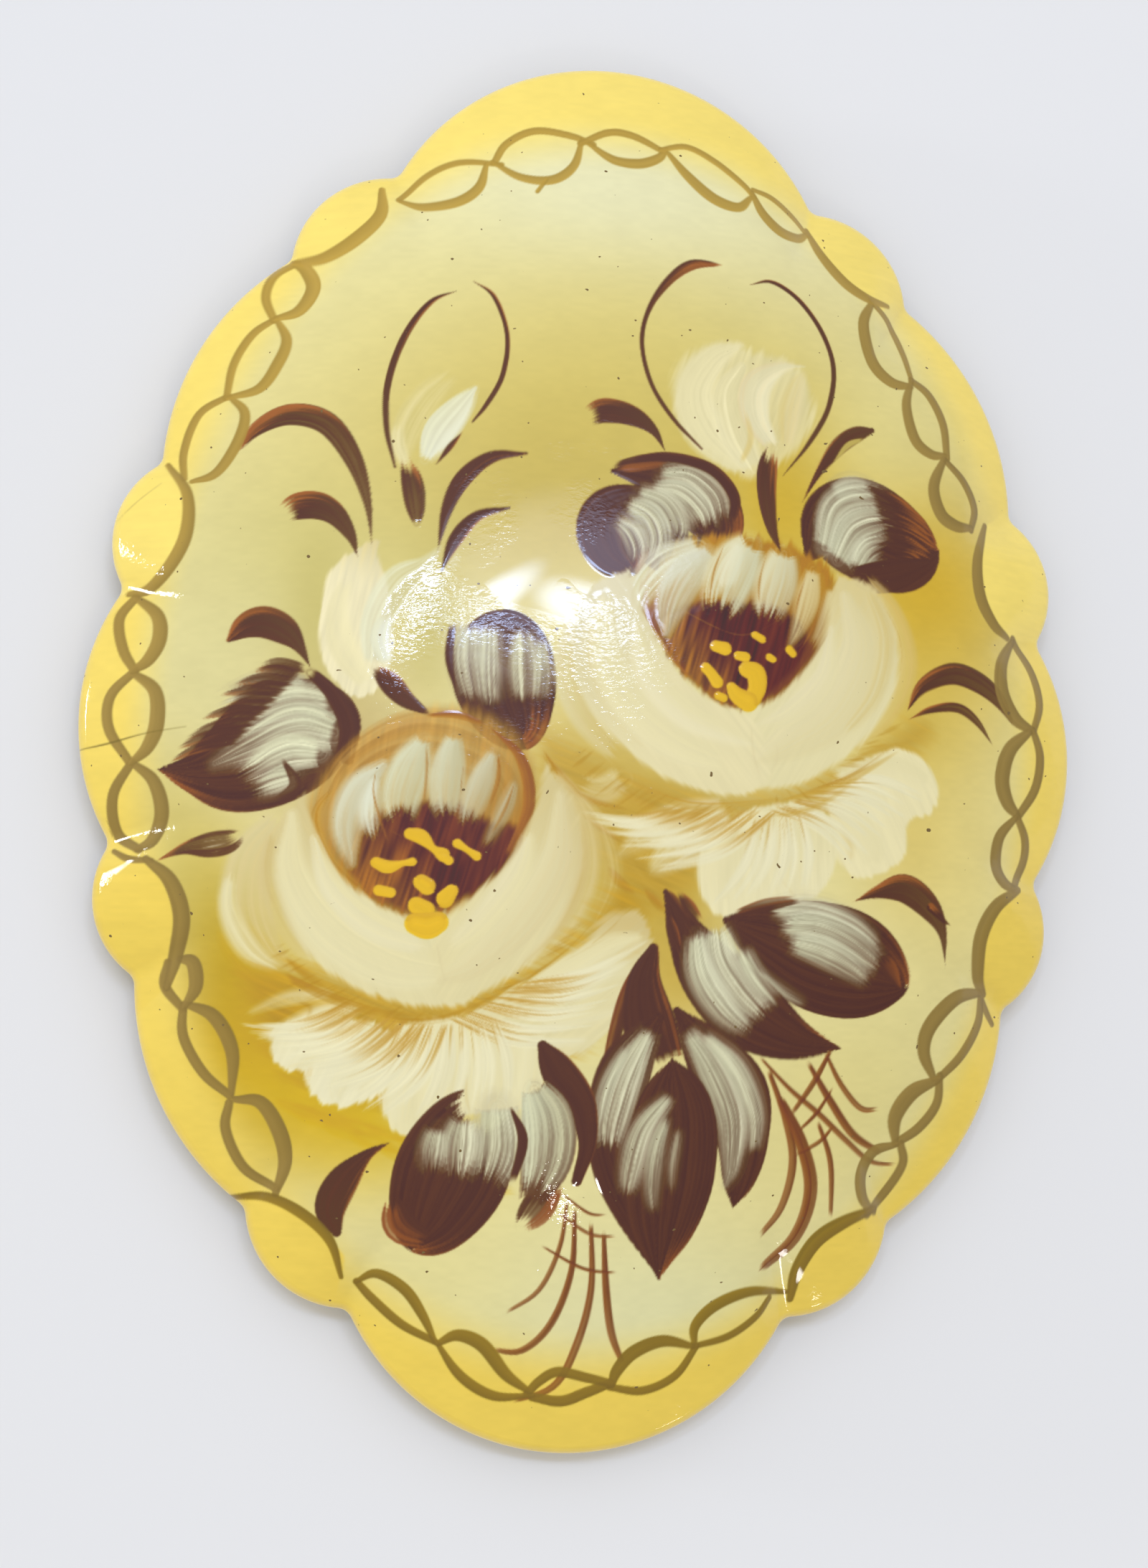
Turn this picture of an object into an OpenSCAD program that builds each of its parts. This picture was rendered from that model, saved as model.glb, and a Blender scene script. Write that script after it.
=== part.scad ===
// Painted papier-mache brooch: a domed, scalloped oval body with a safety pin finding on its back.
// Row frame: +Z is the painted front, +Y the top of the picture, +X its right.
// The origin is under the middle of the outline, on the plane that the lowest piece of the finding touches.

/* [Outline] */
// Overall width, across the side lobes
brooch_w = 54.6; // [48:0.2:66]
// Overall length, across the end lobes
brooch_l = 76; // [62:0.1:92]
// How far each side lobe stands out of its chord
side_bulge = 2; // [1.2:0.1:2.6]
// How far each diagonal lobe stands out of its chord
corner_bulge = 1.6; // [1:0.1:2.2]
// How far each small lobe stands out of its chord
small_bulge = 1.5; // [1:0.1:1.9]
// How far each end lobe stands out of its chord
end_bulge = 7.3; // [5:0.1:8.5]
// Radius that rounds each notch between two lobes
notch_fillet = 0.9; // [0.5:0.1:1.4]

/* [Dome] */
// Height of the rim's underside above the resting plane
rim_lift = 1.2; // [0.6:0.1:2]
// Radius of the rounded rim, half of its thickness
edge_r = 1.1; // [0.8:0.05:1.4]
// Rise of the hollow in the back, from the rim's underside to its crown
hollow_rise = 7.2; // [5.8:0.1:9]
// Thickness of the body at its crown
crown_wall = 2.8; // [2.4:0.1:4]
// Fullness of the dome: 2 is a paraboloid, more is flatter on top
dome_power = 2.5; // [2.2:0.1:3]
// Width of the flat land between the hollow and the nearest notch, rounded rim included
land_w = 2.1; // [1.6:0.1:3]

/* [Finding] */
// Length of the bar
bar_l = 30; // [25:0.5:36]
// Width of the bar
bar_w = 6; // [5:0.1:7]
// Thickness of the bar
bar_t = 0.7; // [0.5:0.05:0.9]
// How far the bar's middle lies above the middle of the brooch
bar_y = 7; // [2:0.5:10]
// Distance from the stem's axis up to the bar
cloth_gap = 2.8; // [2.7:0.05:3.2]
// Distance between the two tacks
tack_pitch = 15; // [11:0.5:16]
// Diameter of a tack's shank
tack_d = 1.4; // [1:0.1:1.6]
// Diameter of a tack's head
tack_head_d = 2.8; // [2.2:0.1:3.2]
// Height of a tack's domed head
tack_head_h = 0.7; // [0.5:0.05:0.9]
// How deep a tack goes into the body
tack_bite = 1.6; // [1:0.1:2]
// How far the bed stays inside the bar's edge
bed_inset = 0.5; // [0.3:0.1:1]

/* [Pin] */
// Diameter of the pin stem
stem_d = 0.9; // [0.7:0.05:1]
// Length of the stem's tapered point
point_l = 5.8; // [4:0.1:7]
// How far the point reaches past the catch
point_past = 0.5; // [0.3:0.1:1]
// Diameter of the hinge rivet
rivet_d = 0.9; // [0.7:0.02:1.1]
// Height of each rivet head
rivet_head_h = 0.35; // [0.25:0.05:0.5]
// Radial clearance of the stem's eye on the rivet
hinge_clear = 0.05; // [0.03:0.01:0.08]
// Wall of the stem's eye around the rivet
eye_wall = 0.75; // [0.6:0.05:0.8]
// Width of the stem's eye
eye_w = 1.8; // [1.4:0.1:2.2]
// Side clearance of the eye between the ears
eye_side = 0.08; // [0.05:0.01:0.15]
// Thickness of the bracket's sheet
ear_t = 0.6; // [0.4:0.05:0.8]
// Distance from the hinge axis to the end of the bar
hinge_inset = 2.5; // [2.2:0.1:3.5]

/* [Catch] */
// Outer radius of the collar
collar_r = 2.1; // [1.9:0.05:2.3]
// Wall of the collar
collar_wall = 0.65; // [0.5:0.05:0.7]
// Length of the collar
collar_l = 2.2; // [1.8:0.1:2.8]
// Width of the gap that the stem passes through
catch_gap = 1.5; // [1.3:0.05:1.6]
// Radial clearance of the roller in the collar
roller_clear = 0.05; // [0.03:0.01:0.08]
// Radius of the roller's bore
roller_bore_r = 0.75; // [0.6:0.05:0.8]
// Thickness of the roller's end flanges
flange_t = 0.5; // [0.4:0.05:0.7]
// End clearance between each flange and the collar
flange_clear = 0.06; // [0.04:0.01:0.1]
// Reach of the thumb tab from the roller's axis
tab_reach = 3.1; // [2.7:0.05:3.2]
// Width of the thumb tab
tab_w = 1.3; // [1:0.1:1.5]
// Distance from the catch's middle to the end of the bar
catch_inset = 2.5; // [2.3:0.1:3.5]

/* [Hidden] */
$fn = 48;

paint_yellow = [0.93, 0.84, 0.42];
putty_brown = [0.23, 0.16, 0.11];
steel_grey = [0.72, 0.72, 0.70];
brass_gold = [0.78, 0.62, 0.30];

// A gap that keeps two glued or buried faces from crossing, and how far a cut runs past a face.
glue_line = 0.05;
over = 0.5;

// ---- Outline: four notches in a quarter, on one ellipse, and the lobes between them ----
// Places of the notches round that ellipse, counted from the side.
notch_turns = [11.4, 23.6, 47.9, 63];
notch_a = (brooch_w / 2 - side_bulge) / cos(notch_turns[0]);
notch_b = (brooch_l / 2 - end_bulge) / sin(notch_turns[3]);
function notch(turn) = [notch_a * cos(turn), notch_b * sin(turn)];

// Every notch counterclockwise from the right-hand side, and the bulge of the lobe that starts there.
all_turns = concat(notch_turns, [for (i = [3:-1:0]) 180 - notch_turns[i]],
    [for (t = notch_turns) 180 + t], [for (i = [3:-1:0]) 360 - notch_turns[i]]);
bulges = [small_bulge, corner_bulge, small_bulge, end_bulge,
    small_bulge, corner_bulge, small_bulge, side_bulge];
lobes = len(all_turns);

function turned(v) = [-v[1], v[0]];
function lobe_r(i) =
    let (half = norm(notch(all_turns[(i + 1) % lobes]) - notch(all_turns[i])) / 2, rise = bulges[i % 8])
    (half * half + rise * rise) / (2 * rise);
function lobe_centre(i) =
    let (a = notch(all_turns[i]), b = notch(all_turns[(i + 1) % lobes]), way = (b - a) / norm(b - a))
    (a + b) / 2 + turned(way) * (lobe_r(i) - bulges[i % 8]);
// Centre of the fillet that touches lobe i and the next one from outside.
function fillet_centre(i) =
    let (p = lobe_centre(i), q = lobe_centre((i + 1) % lobes), rp = lobe_r(i) + notch_fillet,
        rq = lobe_r((i + 1) % lobes) + notch_fillet, gap = norm(q - p),
        along = (gap * gap + rp * rp - rq * rq) / (2 * gap), way = (q - p) / gap)
    p + way * along - turned(way) * sqrt(rp * rp - along * along);
function angle_of(v) = atan2(v[1], v[0]);
function nearest_turn(a, b) = b + 360 * round((a - b) / 360);
function arc(c, r, a0, a1, steps) =
    [for (k = [0:steps]) let (a = a0 + (a1 - a0) * k / steps) c + r * [cos(a), sin(a)]];
function lobe_steps(i) = i % 8 == 3 ? 16 : bulges[i % 8] == small_bulge ? 5 : 8;
function lobe_points(i) =
    let (c = lobe_centre(i), before = fillet_centre((i + lobes - 1) % lobes), after = fillet_centre(i),
        a0 = angle_of(before - c), a1 = nearest_turn(a0, angle_of(after - c)))
    arc(c, lobe_r(i), a0, a1, lobe_steps(i));
function fillet_points(i) =
    let (c = fillet_centre(i), a0 = angle_of(lobe_centre(i) - c),
        a1 = nearest_turn(a0, angle_of(lobe_centre((i + 1) % lobes) - c)), a = a0 + (a1 - a0) / 2)
    [c + notch_fillet * [cos(a), sin(a)]];
outline = [for (i = [0:lobes - 1]) each concat(lobe_points(i), fillet_points(i))];

// ---- Dome: heights over the plane that the finding touches ----
// The collar's lowest edges touch that plane, and the stem's axis sets the bar's height.
stem_z = sqrt(collar_r * collar_r - catch_gap * catch_gap / 4);
bar_z = stem_z + cloth_gap;
bar_top = bar_z + bar_t;
edge_start = 55;
top_rings = 13;
edge_rings = 6;
hollow_rings = 11;
// The dome's level lines are ellipses in the middle and turn into the outline towards the rim.
even_a = brooch_w / 2 - 0.6;
even_b = brooch_l / 2 - 1.4;
blend_from = 0.7;
// The hollow is an ellipse that keeps land_w inside the notches.
hollow_a = notch_a - land_w;
hollow_b = notch_b - land_w;

function share_in(p, a, b) = norm([p[0] / a, p[1] / b]);
crown_z = rim_lift + hollow_rise + crown_wall;

function eased(x) = x <= 0 ? 0 : x >= 1 ? 1 : x * x * (3 - 2 * x);
function inset(p, d) = p * (1 - d / norm(p));
function top_point(p, s) =
    let (rim = inset(p, edge_r * (1 - cos(edge_start))), w = eased((s - blend_from) / (1 - blend_from)),
        flat = s * (rim * w + p / share_in(p, even_a, even_b) * (1 - w)),
        rim_z = rim_lift + edge_r * (1 + sin(edge_start)))
    [flat[0], flat[1], rim_z + (crown_z - rim_z) * (1 - pow(s, dome_power))];
function edge_point(p, turn) =
    let (q = inset(p, edge_r * (1 - cos(turn)))) [q[0], q[1], rim_lift + edge_r * (1 + sin(turn))];
function hollow_z(p) =
    rim_lift + hollow_rise * (1 - pow(min(share_in(p, hollow_a, hollow_b), 1), dome_power));
function hollow_point(p, s) =
    let (q = s * p / share_in(p, hollow_a, hollow_b)) [q[0], q[1], hollow_z(q)];

// Rings that start at a pole, run out over the top, round the rim and back in under the hollow.
module ringed(rings, pole_a, pole_b) {
    n = len(rings[0]);
    m = len(rings);
    points = concat([pole_a], [for (r = rings) each r], [pole_b]);
    faces = concat(
        [for (i = [0:n - 1]) [0, 1 + (i + 1) % n, 1 + i]],
        [for (k = [0:m - 2], i = [0:n - 1], side = [0, 1])
            let (a = 1 + k * n + i, b = 1 + k * n + (i + 1) % n)
            side == 0 ? [a, b, b + n] : [a, b + n, a + n]],
        [for (i = [0:n - 1]) [m * n + 1, 1 + (m - 1) * n + i, 1 + (m - 1) * n + (i + 1) % n]]);
    polyhedron(points, faces);
}

module body_blank() {
    rings = concat(
        [for (k = [1:top_rings]) [for (p = outline) top_point(p, k / top_rings)]],
        [for (k = [1:edge_rings]) let (turn = edge_start - (edge_start + 90) * k / edge_rings)
            [for (p = outline) edge_point(p, turn)]],
        [for (k = [hollow_rings:-1:1]) [for (p = outline) hollow_point(p, k / hollow_rings)]]);
    ringed(rings, [0, 0, crown_z], [0, 0, rim_lift + hollow_rise]);
}

// ---- Finding: everything hangs from the bar ----
stem_r = stem_d / 2;
rivet_r = rivet_d / 2;
tack_r = tack_d / 2;
hinge_x = -(bar_l / 2 - hinge_inset);
catch_x = bar_l / 2 - catch_inset;
eye_r = rivet_r + hinge_clear + eye_wall;
ear_r = eye_r + 0.05;
ear_in = eye_w / 2 + eye_side;
point_x = catch_x + collar_l / 2 + flange_clear + flange_t + point_past;
neck_l = 1.6;
neck_w = 1.8;
peg_r = 0.6;
tack_xs = [-tack_pitch / 2, tack_pitch / 2];
tack_top = [for (x = tack_xs) hollow_z([x, bar_y]) + tack_bite];

module slab(l, w, t) {
    linear_extrude(t) {
        square([l - w, w], center = true);
        for (side = [-1, 1]) translate([side * (l - w) / 2, 0]) circle(w / 2);
    }
}
module across(x, z, r, from, to) {
    translate([x, to + bar_y, z]) rotate([90, 0, 0]) cylinder(r = r, h = to - from);
}
module along(from, to, r) {
    translate([from, bar_y, stem_z]) rotate([0, 90, 0]) cylinder(r = r, h = to - from);
}

bed_l = bar_l - 2 * bed_inset;
bed_w = bar_w - 2 * bed_inset;
bed_least = 0.1;

// The seat of the bar and its bed: a glue line round both, cut wherever the hollow is too low for them.
module seat() {
    round_glue = 2 * glue_line;
    translate([0, bar_y, 0]) slab(bar_l + round_glue, bar_w + round_glue, bar_top + glue_line);
    translate([0, bar_y, 0]) slab(bed_l + round_glue, bed_w + round_glue, bar_top + bed_least + glue_line);
}

module body() {
    color(paint_yellow) difference() {
        body_blank();
        seat();
        for (k = [0, 1]) translate([tack_xs[k], bar_y, bar_top])
            cylinder(r = tack_r, h = tack_top[k] - bar_top);
    }
}

// The filler that carries the flat bar in the curved hollow.
// Its top follows the hollow, a glue line below it.
module mounting_bed() {
    steps_x = 28;
    steps_y = 6;
    // Rows along X, each as wide as the rounded end leaves there.
    xs = [for (i = [0:steps_x]) -bed_l / 2 * cos(180 * i / steps_x)];
    function half_w(x) =
        let (past = max(abs(x) - (bed_l - bed_w) / 2, 0))
        max(sqrt(max(bed_w * bed_w / 4 - past * past, 0)), 0.05);
    function grid(x, j) = [x, bar_y + half_w(x) * (2 * j / steps_y - 1)];
    cols = steps_y + 1;
    rows = steps_x + 1;
    top = [for (x = xs, j = [0:steps_y]) let (p = grid(x, j))
        [p[0], p[1], max(hollow_z(p) - glue_line, bar_top + bed_least)]];
    low = [for (x = xs, j = [0:steps_y]) let (p = grid(x, j)) [p[0], p[1], bar_top]];
    count = rows * cols;
    quads = [for (i = [0:steps_x - 1], j = [0:steps_y - 1]) [i * cols + j, i * cols + j + 1,
        (i + 1) * cols + j + 1, (i + 1) * cols + j]];
    rim = concat([for (i = [0:steps_x]) i * cols], [for (j = [1:steps_y]) steps_x * cols + j],
        [for (i = [steps_x - 1:-1:0]) i * cols + steps_y], [for (j = [steps_y - 1:-1:1]) j]);
    edge = len(rim);
    faces = concat(
        [for (q = quads) each [[q[0], q[1], q[2]], [q[0], q[2], q[3]]]],
        [for (q = quads) each [[count + q[2], count + q[1], count + q[0]],
            [count + q[3], count + q[2], count + q[0]]]],
        [for (k = [0:edge - 1]) let (a = rim[k], b = rim[(k + 1) % edge])
            each [[a, b, count + b], [a, count + b, count + a]]]);
    color(putty_brown) difference() {
        polyhedron(concat(top, low), faces);
        for (x = tack_xs) translate([x, bar_y, bar_top - over]) cylinder(r = tack_r, h = hollow_rise);
    }
}

module pin_bar() {
    color(steel_grey) difference() {
        translate([0, bar_y, bar_z]) slab(bar_l, bar_w, bar_t);
        for (x = tack_xs) translate([x, bar_y, bar_z - over]) cylinder(r = tack_r, h = bar_t + 2 * over);
        for (x = [hinge_x, catch_x]) translate([x, bar_y, bar_z - over])
            cylinder(r = peg_r, h = bar_t + 2 * over);
    }
}

// A round-headed tack, driven up through the bar and the bed into the body.
module tack(k) {
    head_r = tack_head_d / 2;
    ball_r = (head_r * head_r + tack_head_h * tack_head_h) / (2 * tack_head_h);
    color(brass_gold) translate([tack_xs[k], bar_y, bar_z]) {
        cylinder(r = tack_r, h = tack_top[k] - bar_z - glue_line);
        intersection() {
            translate([0, 0, ball_r - tack_head_h]) sphere(ball_r);
            translate([0, 0, -tack_head_h]) cylinder(r = head_r, h = tack_head_h);
        }
    }
}

// A folded bracket with two ears, riveted to the bar by its own peg.
module hinge_bracket() {
    foot_w = 2 * (ear_in + ear_t);
    foot_z = bar_z - ear_t;
    color(steel_grey) difference() {
        union() {
            translate([hinge_x - ear_r, bar_y - foot_w / 2, foot_z]) cube([2 * ear_r, foot_w, ear_t]);
            translate([hinge_x, bar_y, foot_z]) cylinder(r = peg_r, h = ear_t + bar_t);
            for (from = [-ear_in - ear_t, ear_in]) {
                across(hinge_x, stem_z, ear_r, from, from + ear_t);
                translate([hinge_x - ear_r, bar_y + from, stem_z]) cube([2 * ear_r, ear_t, bar_z - stem_z]);
            }
        }
        across(hinge_x, stem_z, rivet_r, -ear_in - ear_t - over, ear_in + ear_t + over);
    }
}

module hinge_rivet() {
    out = ear_in + ear_t;
    head_r = rivet_r + 0.35;
    color(brass_gold) {
        across(hinge_x, stem_z, rivet_r, -out - rivet_head_h / 2, out + rivet_head_h / 2);
        across(hinge_x, stem_z, head_r, out, out + rivet_head_h);
        across(hinge_x, stem_z, head_r, -out - rivet_head_h, -out);
    }
}

// The stem points along +X when it is shut, and opens away from the bar.
module pin_stem() {
    taper_x = point_x - point_l;
    tip_r = 0.05;
    color(steel_grey) difference() {
        union() {
            across(hinge_x, stem_z, eye_r, -eye_w / 2, eye_w / 2);
            along(hinge_x + rivet_r + hinge_clear + eye_wall / 2, taper_x, stem_r);
            translate([taper_x, bar_y, stem_z]) rotate([0, 90, 0])
                cylinder(r1 = stem_r, r2 = tip_r, h = point_l);
        }
        across(hinge_x, stem_z, rivet_r + hinge_clear, -eye_w, eye_w);
    }
}

module gap_cut(from, to, wide) {
    translate([from, bar_y - wide / 2, stem_z - 2 * collar_r]) cube([to - from, wide, 2 * collar_r]);
}
module catch_collar() {
    from = catch_x - collar_l / 2;
    to = catch_x + collar_l / 2;
    color(steel_grey) difference() {
        union() {
            along(from, to, collar_r);
            translate([catch_x - neck_l / 2, bar_y - neck_w / 2, stem_z])
                cube([neck_l, neck_w, bar_z - stem_z]);
            translate([catch_x, bar_y, stem_z + collar_r])
                cylinder(r = peg_r, h = bar_top - stem_z - collar_r);
        }
        along(from - over, to + over, collar_r - collar_wall);
        gap_cut(from - over, to + over, catch_gap);
    }
}

// The roller turns in the collar. Its gap faces the collar's gap when it is unlocked, as drawn.
module catch_roller() {
    tab_turn = 45;
    drum_r = collar_r - collar_wall - roller_clear;
    flange_r = collar_r - 0.25;
    reach = collar_l / 2 + flange_clear;
    color(steel_grey) difference() {
        union() {
            along(catch_x - reach - flange_t / 2, catch_x + reach + flange_t / 2, drum_r);
            for (from = [catch_x - reach - flange_t, catch_x + reach])
                along(from, from + flange_t, flange_r);
            translate([catch_x + reach, bar_y, stem_z]) rotate([-tab_turn, 0, 0]) {
                translate([0, -tab_reach + tab_w / 2, -tab_w / 2])
                    cube([flange_t, tab_reach - tab_w / 2, tab_w]);
                translate([0, -tab_reach + tab_w / 2, 0])
                    rotate([0, 90, 0]) cylinder(r = tab_w / 2, h = flange_t);
            }
        }
        along(catch_x - reach - flange_t - over, catch_x + reach + flange_t + over, roller_bore_r);
        gap_cut(catch_x - reach - flange_t - over, catch_x + reach + flange_t + over, catch_gap - 0.2);
    }
}

body();
mounting_bed();
pin_bar();
tack(0);  // tack_left
tack(1);  // tack_right
hinge_bracket();
hinge_rivet();
pin_stem();
catch_collar();
catch_roller();
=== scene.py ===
"""A painted lacquer brooch: a domed scalloped oval with two roses, leaves and a chain border, and a bar pin
on its back. The frame is +Z towards the painted front and +Y towards the top of the picture, all in mm."""

import math

import bpy
import numpy as np
from mathutils import Matrix, Vector


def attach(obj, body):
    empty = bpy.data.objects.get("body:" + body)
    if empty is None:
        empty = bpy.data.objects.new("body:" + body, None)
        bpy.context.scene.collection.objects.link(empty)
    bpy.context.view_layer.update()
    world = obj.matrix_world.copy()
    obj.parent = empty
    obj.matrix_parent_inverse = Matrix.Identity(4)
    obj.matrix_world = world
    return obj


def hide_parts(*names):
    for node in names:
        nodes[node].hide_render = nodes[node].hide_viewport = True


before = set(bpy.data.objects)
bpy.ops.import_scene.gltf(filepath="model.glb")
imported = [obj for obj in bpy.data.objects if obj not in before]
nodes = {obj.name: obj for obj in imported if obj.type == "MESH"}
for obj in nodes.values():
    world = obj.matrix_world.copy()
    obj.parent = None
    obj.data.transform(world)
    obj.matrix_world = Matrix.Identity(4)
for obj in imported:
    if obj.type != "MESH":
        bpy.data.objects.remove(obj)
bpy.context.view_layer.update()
MM = 0.001


# ---- Canvas: the painted front seen from above, in millimetres ----
CANVAS_X, CANVAS_Y = 28.5, 39.5


class Canvas:
    def __init__(self, dots):
        self.dots = dots
        xs = -CANVAS_X + (np.arange(int(2 * CANVAS_X * dots)) + 0.5) / dots
        ys = -CANVAS_Y + (np.arange(int(2 * CANVAS_Y * dots)) + 0.5) / dots
        self.x, self.y = np.meshgrid(xs.astype(np.float32), ys.astype(np.float32))
        self.rgb = np.zeros(self.x.shape + (3,), np.float32)
        self.lift = np.zeros(self.x.shape, np.float32)

    def window(self, x0, x1, y0, y1):
        d = self.dots
        c0, c1 = max(int((x0 + CANVAS_X) * d), 0), min(int((x1 + CANVAS_X) * d) + 1, self.x.shape[1])
        r0, r1 = max(int((y0 + CANVAS_Y) * d), 0), min(int((y1 + CANVAS_Y) * d) + 1, self.x.shape[0])
        return slice(r0, r1), slice(c0, c1)

    def lay(self, where, colour, alpha, lift):
        a = alpha[..., None]
        self.rgb[where] = self.rgb[where] * (1 - a) + colour * a
        self.lift[where] = self.lift[where] * (1 - 0.6 * alpha) + lift * alpha


def hashed(seed, n=512):
    return np.random.RandomState(seed % 100003).rand(n).astype(np.float32)


def wave(t, seed):
    """Smooth noise along a line, 0 to 1."""
    table = hashed(seed)
    i = np.floor(t).astype(np.int64)
    f = t - i
    f = f * f * (3 - 2 * f)
    return table[i % 512] * (1 - f) + table[(i + 1) % 512] * f


def cloud(x, y, seed):
    """Smooth noise over a plane, 0 to 1."""
    table = hashed(seed, 4096).reshape(64, 64)
    i, j = np.floor(x).astype(np.int64), np.floor(y).astype(np.int64)
    fx, fy = x - i, y - j
    fx, fy = fx * fx * (3 - 2 * fx), fy * fy * (3 - 2 * fy)
    a, b = table[i % 64, j % 64], table[(i + 1) % 64, j % 64]
    c, d = table[i % 64, (j + 1) % 64], table[(i + 1) % 64, (j + 1) % 64]
    return (a * (1 - fx) + b * fx) * (1 - fy) + (c * (1 - fx) + d * fx) * fy


def ramp(lo, hi, t):
    t = np.clip((t - lo) / (hi - lo), 0, 1)
    return t * t * (3 - 2 * t)


def smooth_path(points, steps):
    """A Catmull-Rom curve through the points; every column, widths too, is interpolated."""
    p = np.array(points, np.float64)
    p = np.vstack([2 * p[0] - p[1], p, 2 * p[-1] - p[-2]])
    out = []
    n = len(p) - 3
    for i in range(n):
        t = np.linspace(0, 1, steps, endpoint=i == n - 1)[:, None]
        a, b, c, d = p[i : i + 4]
        square, cube = 2 * a - 5 * b + 4 * c - d, 3 * b - a - 3 * c + d
        out.append(0.5 * (2 * b + (c - a) * t + square * t * t + cube * t**3))
    return np.vstack(out)


def stroke(cv, points, colour, other=None, blend=(-1, 1), spread=0.8, along=(0, 0), soft=0.07, fray=(0, 0),
           rough=0.05, opacity=1.0, dry=0.0, bristles=5.0, streaks=0.12, lift=1.0, seed=1):
    """One brush stroke. points: x, y, half width. blend: where, across the brush, colour turns into other.
    fray: millimetres over which the bristles land and leave. dry: how far the brush runs out of paint."""
    path = smooth_path(points, 7)
    path[:, 2] = np.maximum(path[:, 2], 0.012)
    seg = np.hypot(*np.diff(path[:, :2], axis=0).T)
    run = np.concatenate([[0], np.cumsum(seg)])
    total = run[-1]
    pad = path[:, 2].max() + 0.4
    where = cv.window(path[:, 0].min() - pad, path[:, 0].max() + pad, path[:, 1].min() - pad,
        path[:, 1].max() + pad)
    x, y = cv.x[where], cv.y[where]
    best = np.full(x.shape, 1e9, np.float32)
    side = np.zeros(x.shape, np.float32)
    place = np.zeros(x.shape, np.float32)
    width = np.ones(x.shape, np.float32)
    for i in range(len(path) - 1):
        ax, ay, aw = path[i]
        dx, dy = path[i + 1, 0] - ax, path[i + 1, 1] - ay
        square = dx * dx + dy * dy
        if square < 1e-12:
            continue
        t = np.clip(((x - ax) * dx + (y - ay) * dy) / square, 0, 1)
        ox, oy = x - ax - t * dx, y - ay - t * dy
        w = aw + t * (path[i + 1, 2] - aw)
        far = np.hypot(ox, oy) / np.maximum(w, 0.05)
        near = far < best
        best[near] = far[near]
        side[near] = np.sign(dx * oy - dy * ox)[near]
        place[near] = (run[i] + t * seg[i])[near]
        width[near] = w[near]
    u = best * side
    widest = path[:, 2].max()
    hair = u * widest * bristles
    s = 0.46 * wave(hair + 40, seed) + 0.28 * wave(hair * 2.3 + 90,
        seed + 7) + 0.12 * wave(hair * 4.7 + 150, seed + 9)
    s = s + 0.14 * cloud(hair * 1.3 + 30, place * 1.6 + 5, seed + 3)
    inside = (1 - best) * width
    alpha = ramp(-soft * 0.5, soft * 0.5 + 0.02, inside - rough * s)
    blunt = [widest < 0.8 or w > 0.35 * widest for w in (path[0, 2],
        path[-1, 2])]  # a pointed end doesn't fray
    if fray[0] > 0 and blunt[0]:
        alpha = alpha * ramp(0, 0.35 + 0.25 * fray[0], place - fray[0] * (1 - s) + 0.25)
    if fray[1] > 0 and blunt[1]:
        alpha = alpha * ramp(0, 0.35 + 0.25 * fray[1], total - place - fray[1] * (1 - s) + 0.25)
    if dry > 0:
        alpha = alpha * (1 - dry * ramp(0.15, 0.75, (1 - s) * (0.35 + 0.9 * place / total)))
    alpha = np.clip(alpha, 0, 1) * opacity
    tint = np.array(colour, np.float32) / 255
    tone = np.broadcast_to(tint, x.shape + (3,))
    if other is not None:
        v = place / total
        m = ramp(blend[0], blend[1], u + (s - 0.5) * 2 * spread + along[0] * (v - along[1]))[..., None]
        tone = tone * (1 - m) + np.array(other, np.float32) / 255 * m
    tone = tone * (1 + streaks * (s - 0.5))[..., None]
    cv.lay(where, tone, alpha, lift * (0.35 + 0.65 * s) * ramp(0, 0.25, inside))


def glow(cv, x, y, rx, ry, turn, colour, amount, power=2.0):
    """A soft airbrushed patch."""
    a = math.radians(turn)
    dx, dy = cv.x - x, cv.y - y
    u = (dx * math.cos(a) + dy * math.sin(a)) / rx
    v = (-dx * math.sin(a) + dy * math.cos(a)) / ry
    alpha = (amount * np.exp(-((u * u + v * v) ** (power / 2))))[..., None]
    cv.rgb = cv.rgb * (1 - alpha) + np.array(colour, np.float32) / 255 * alpha


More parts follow.
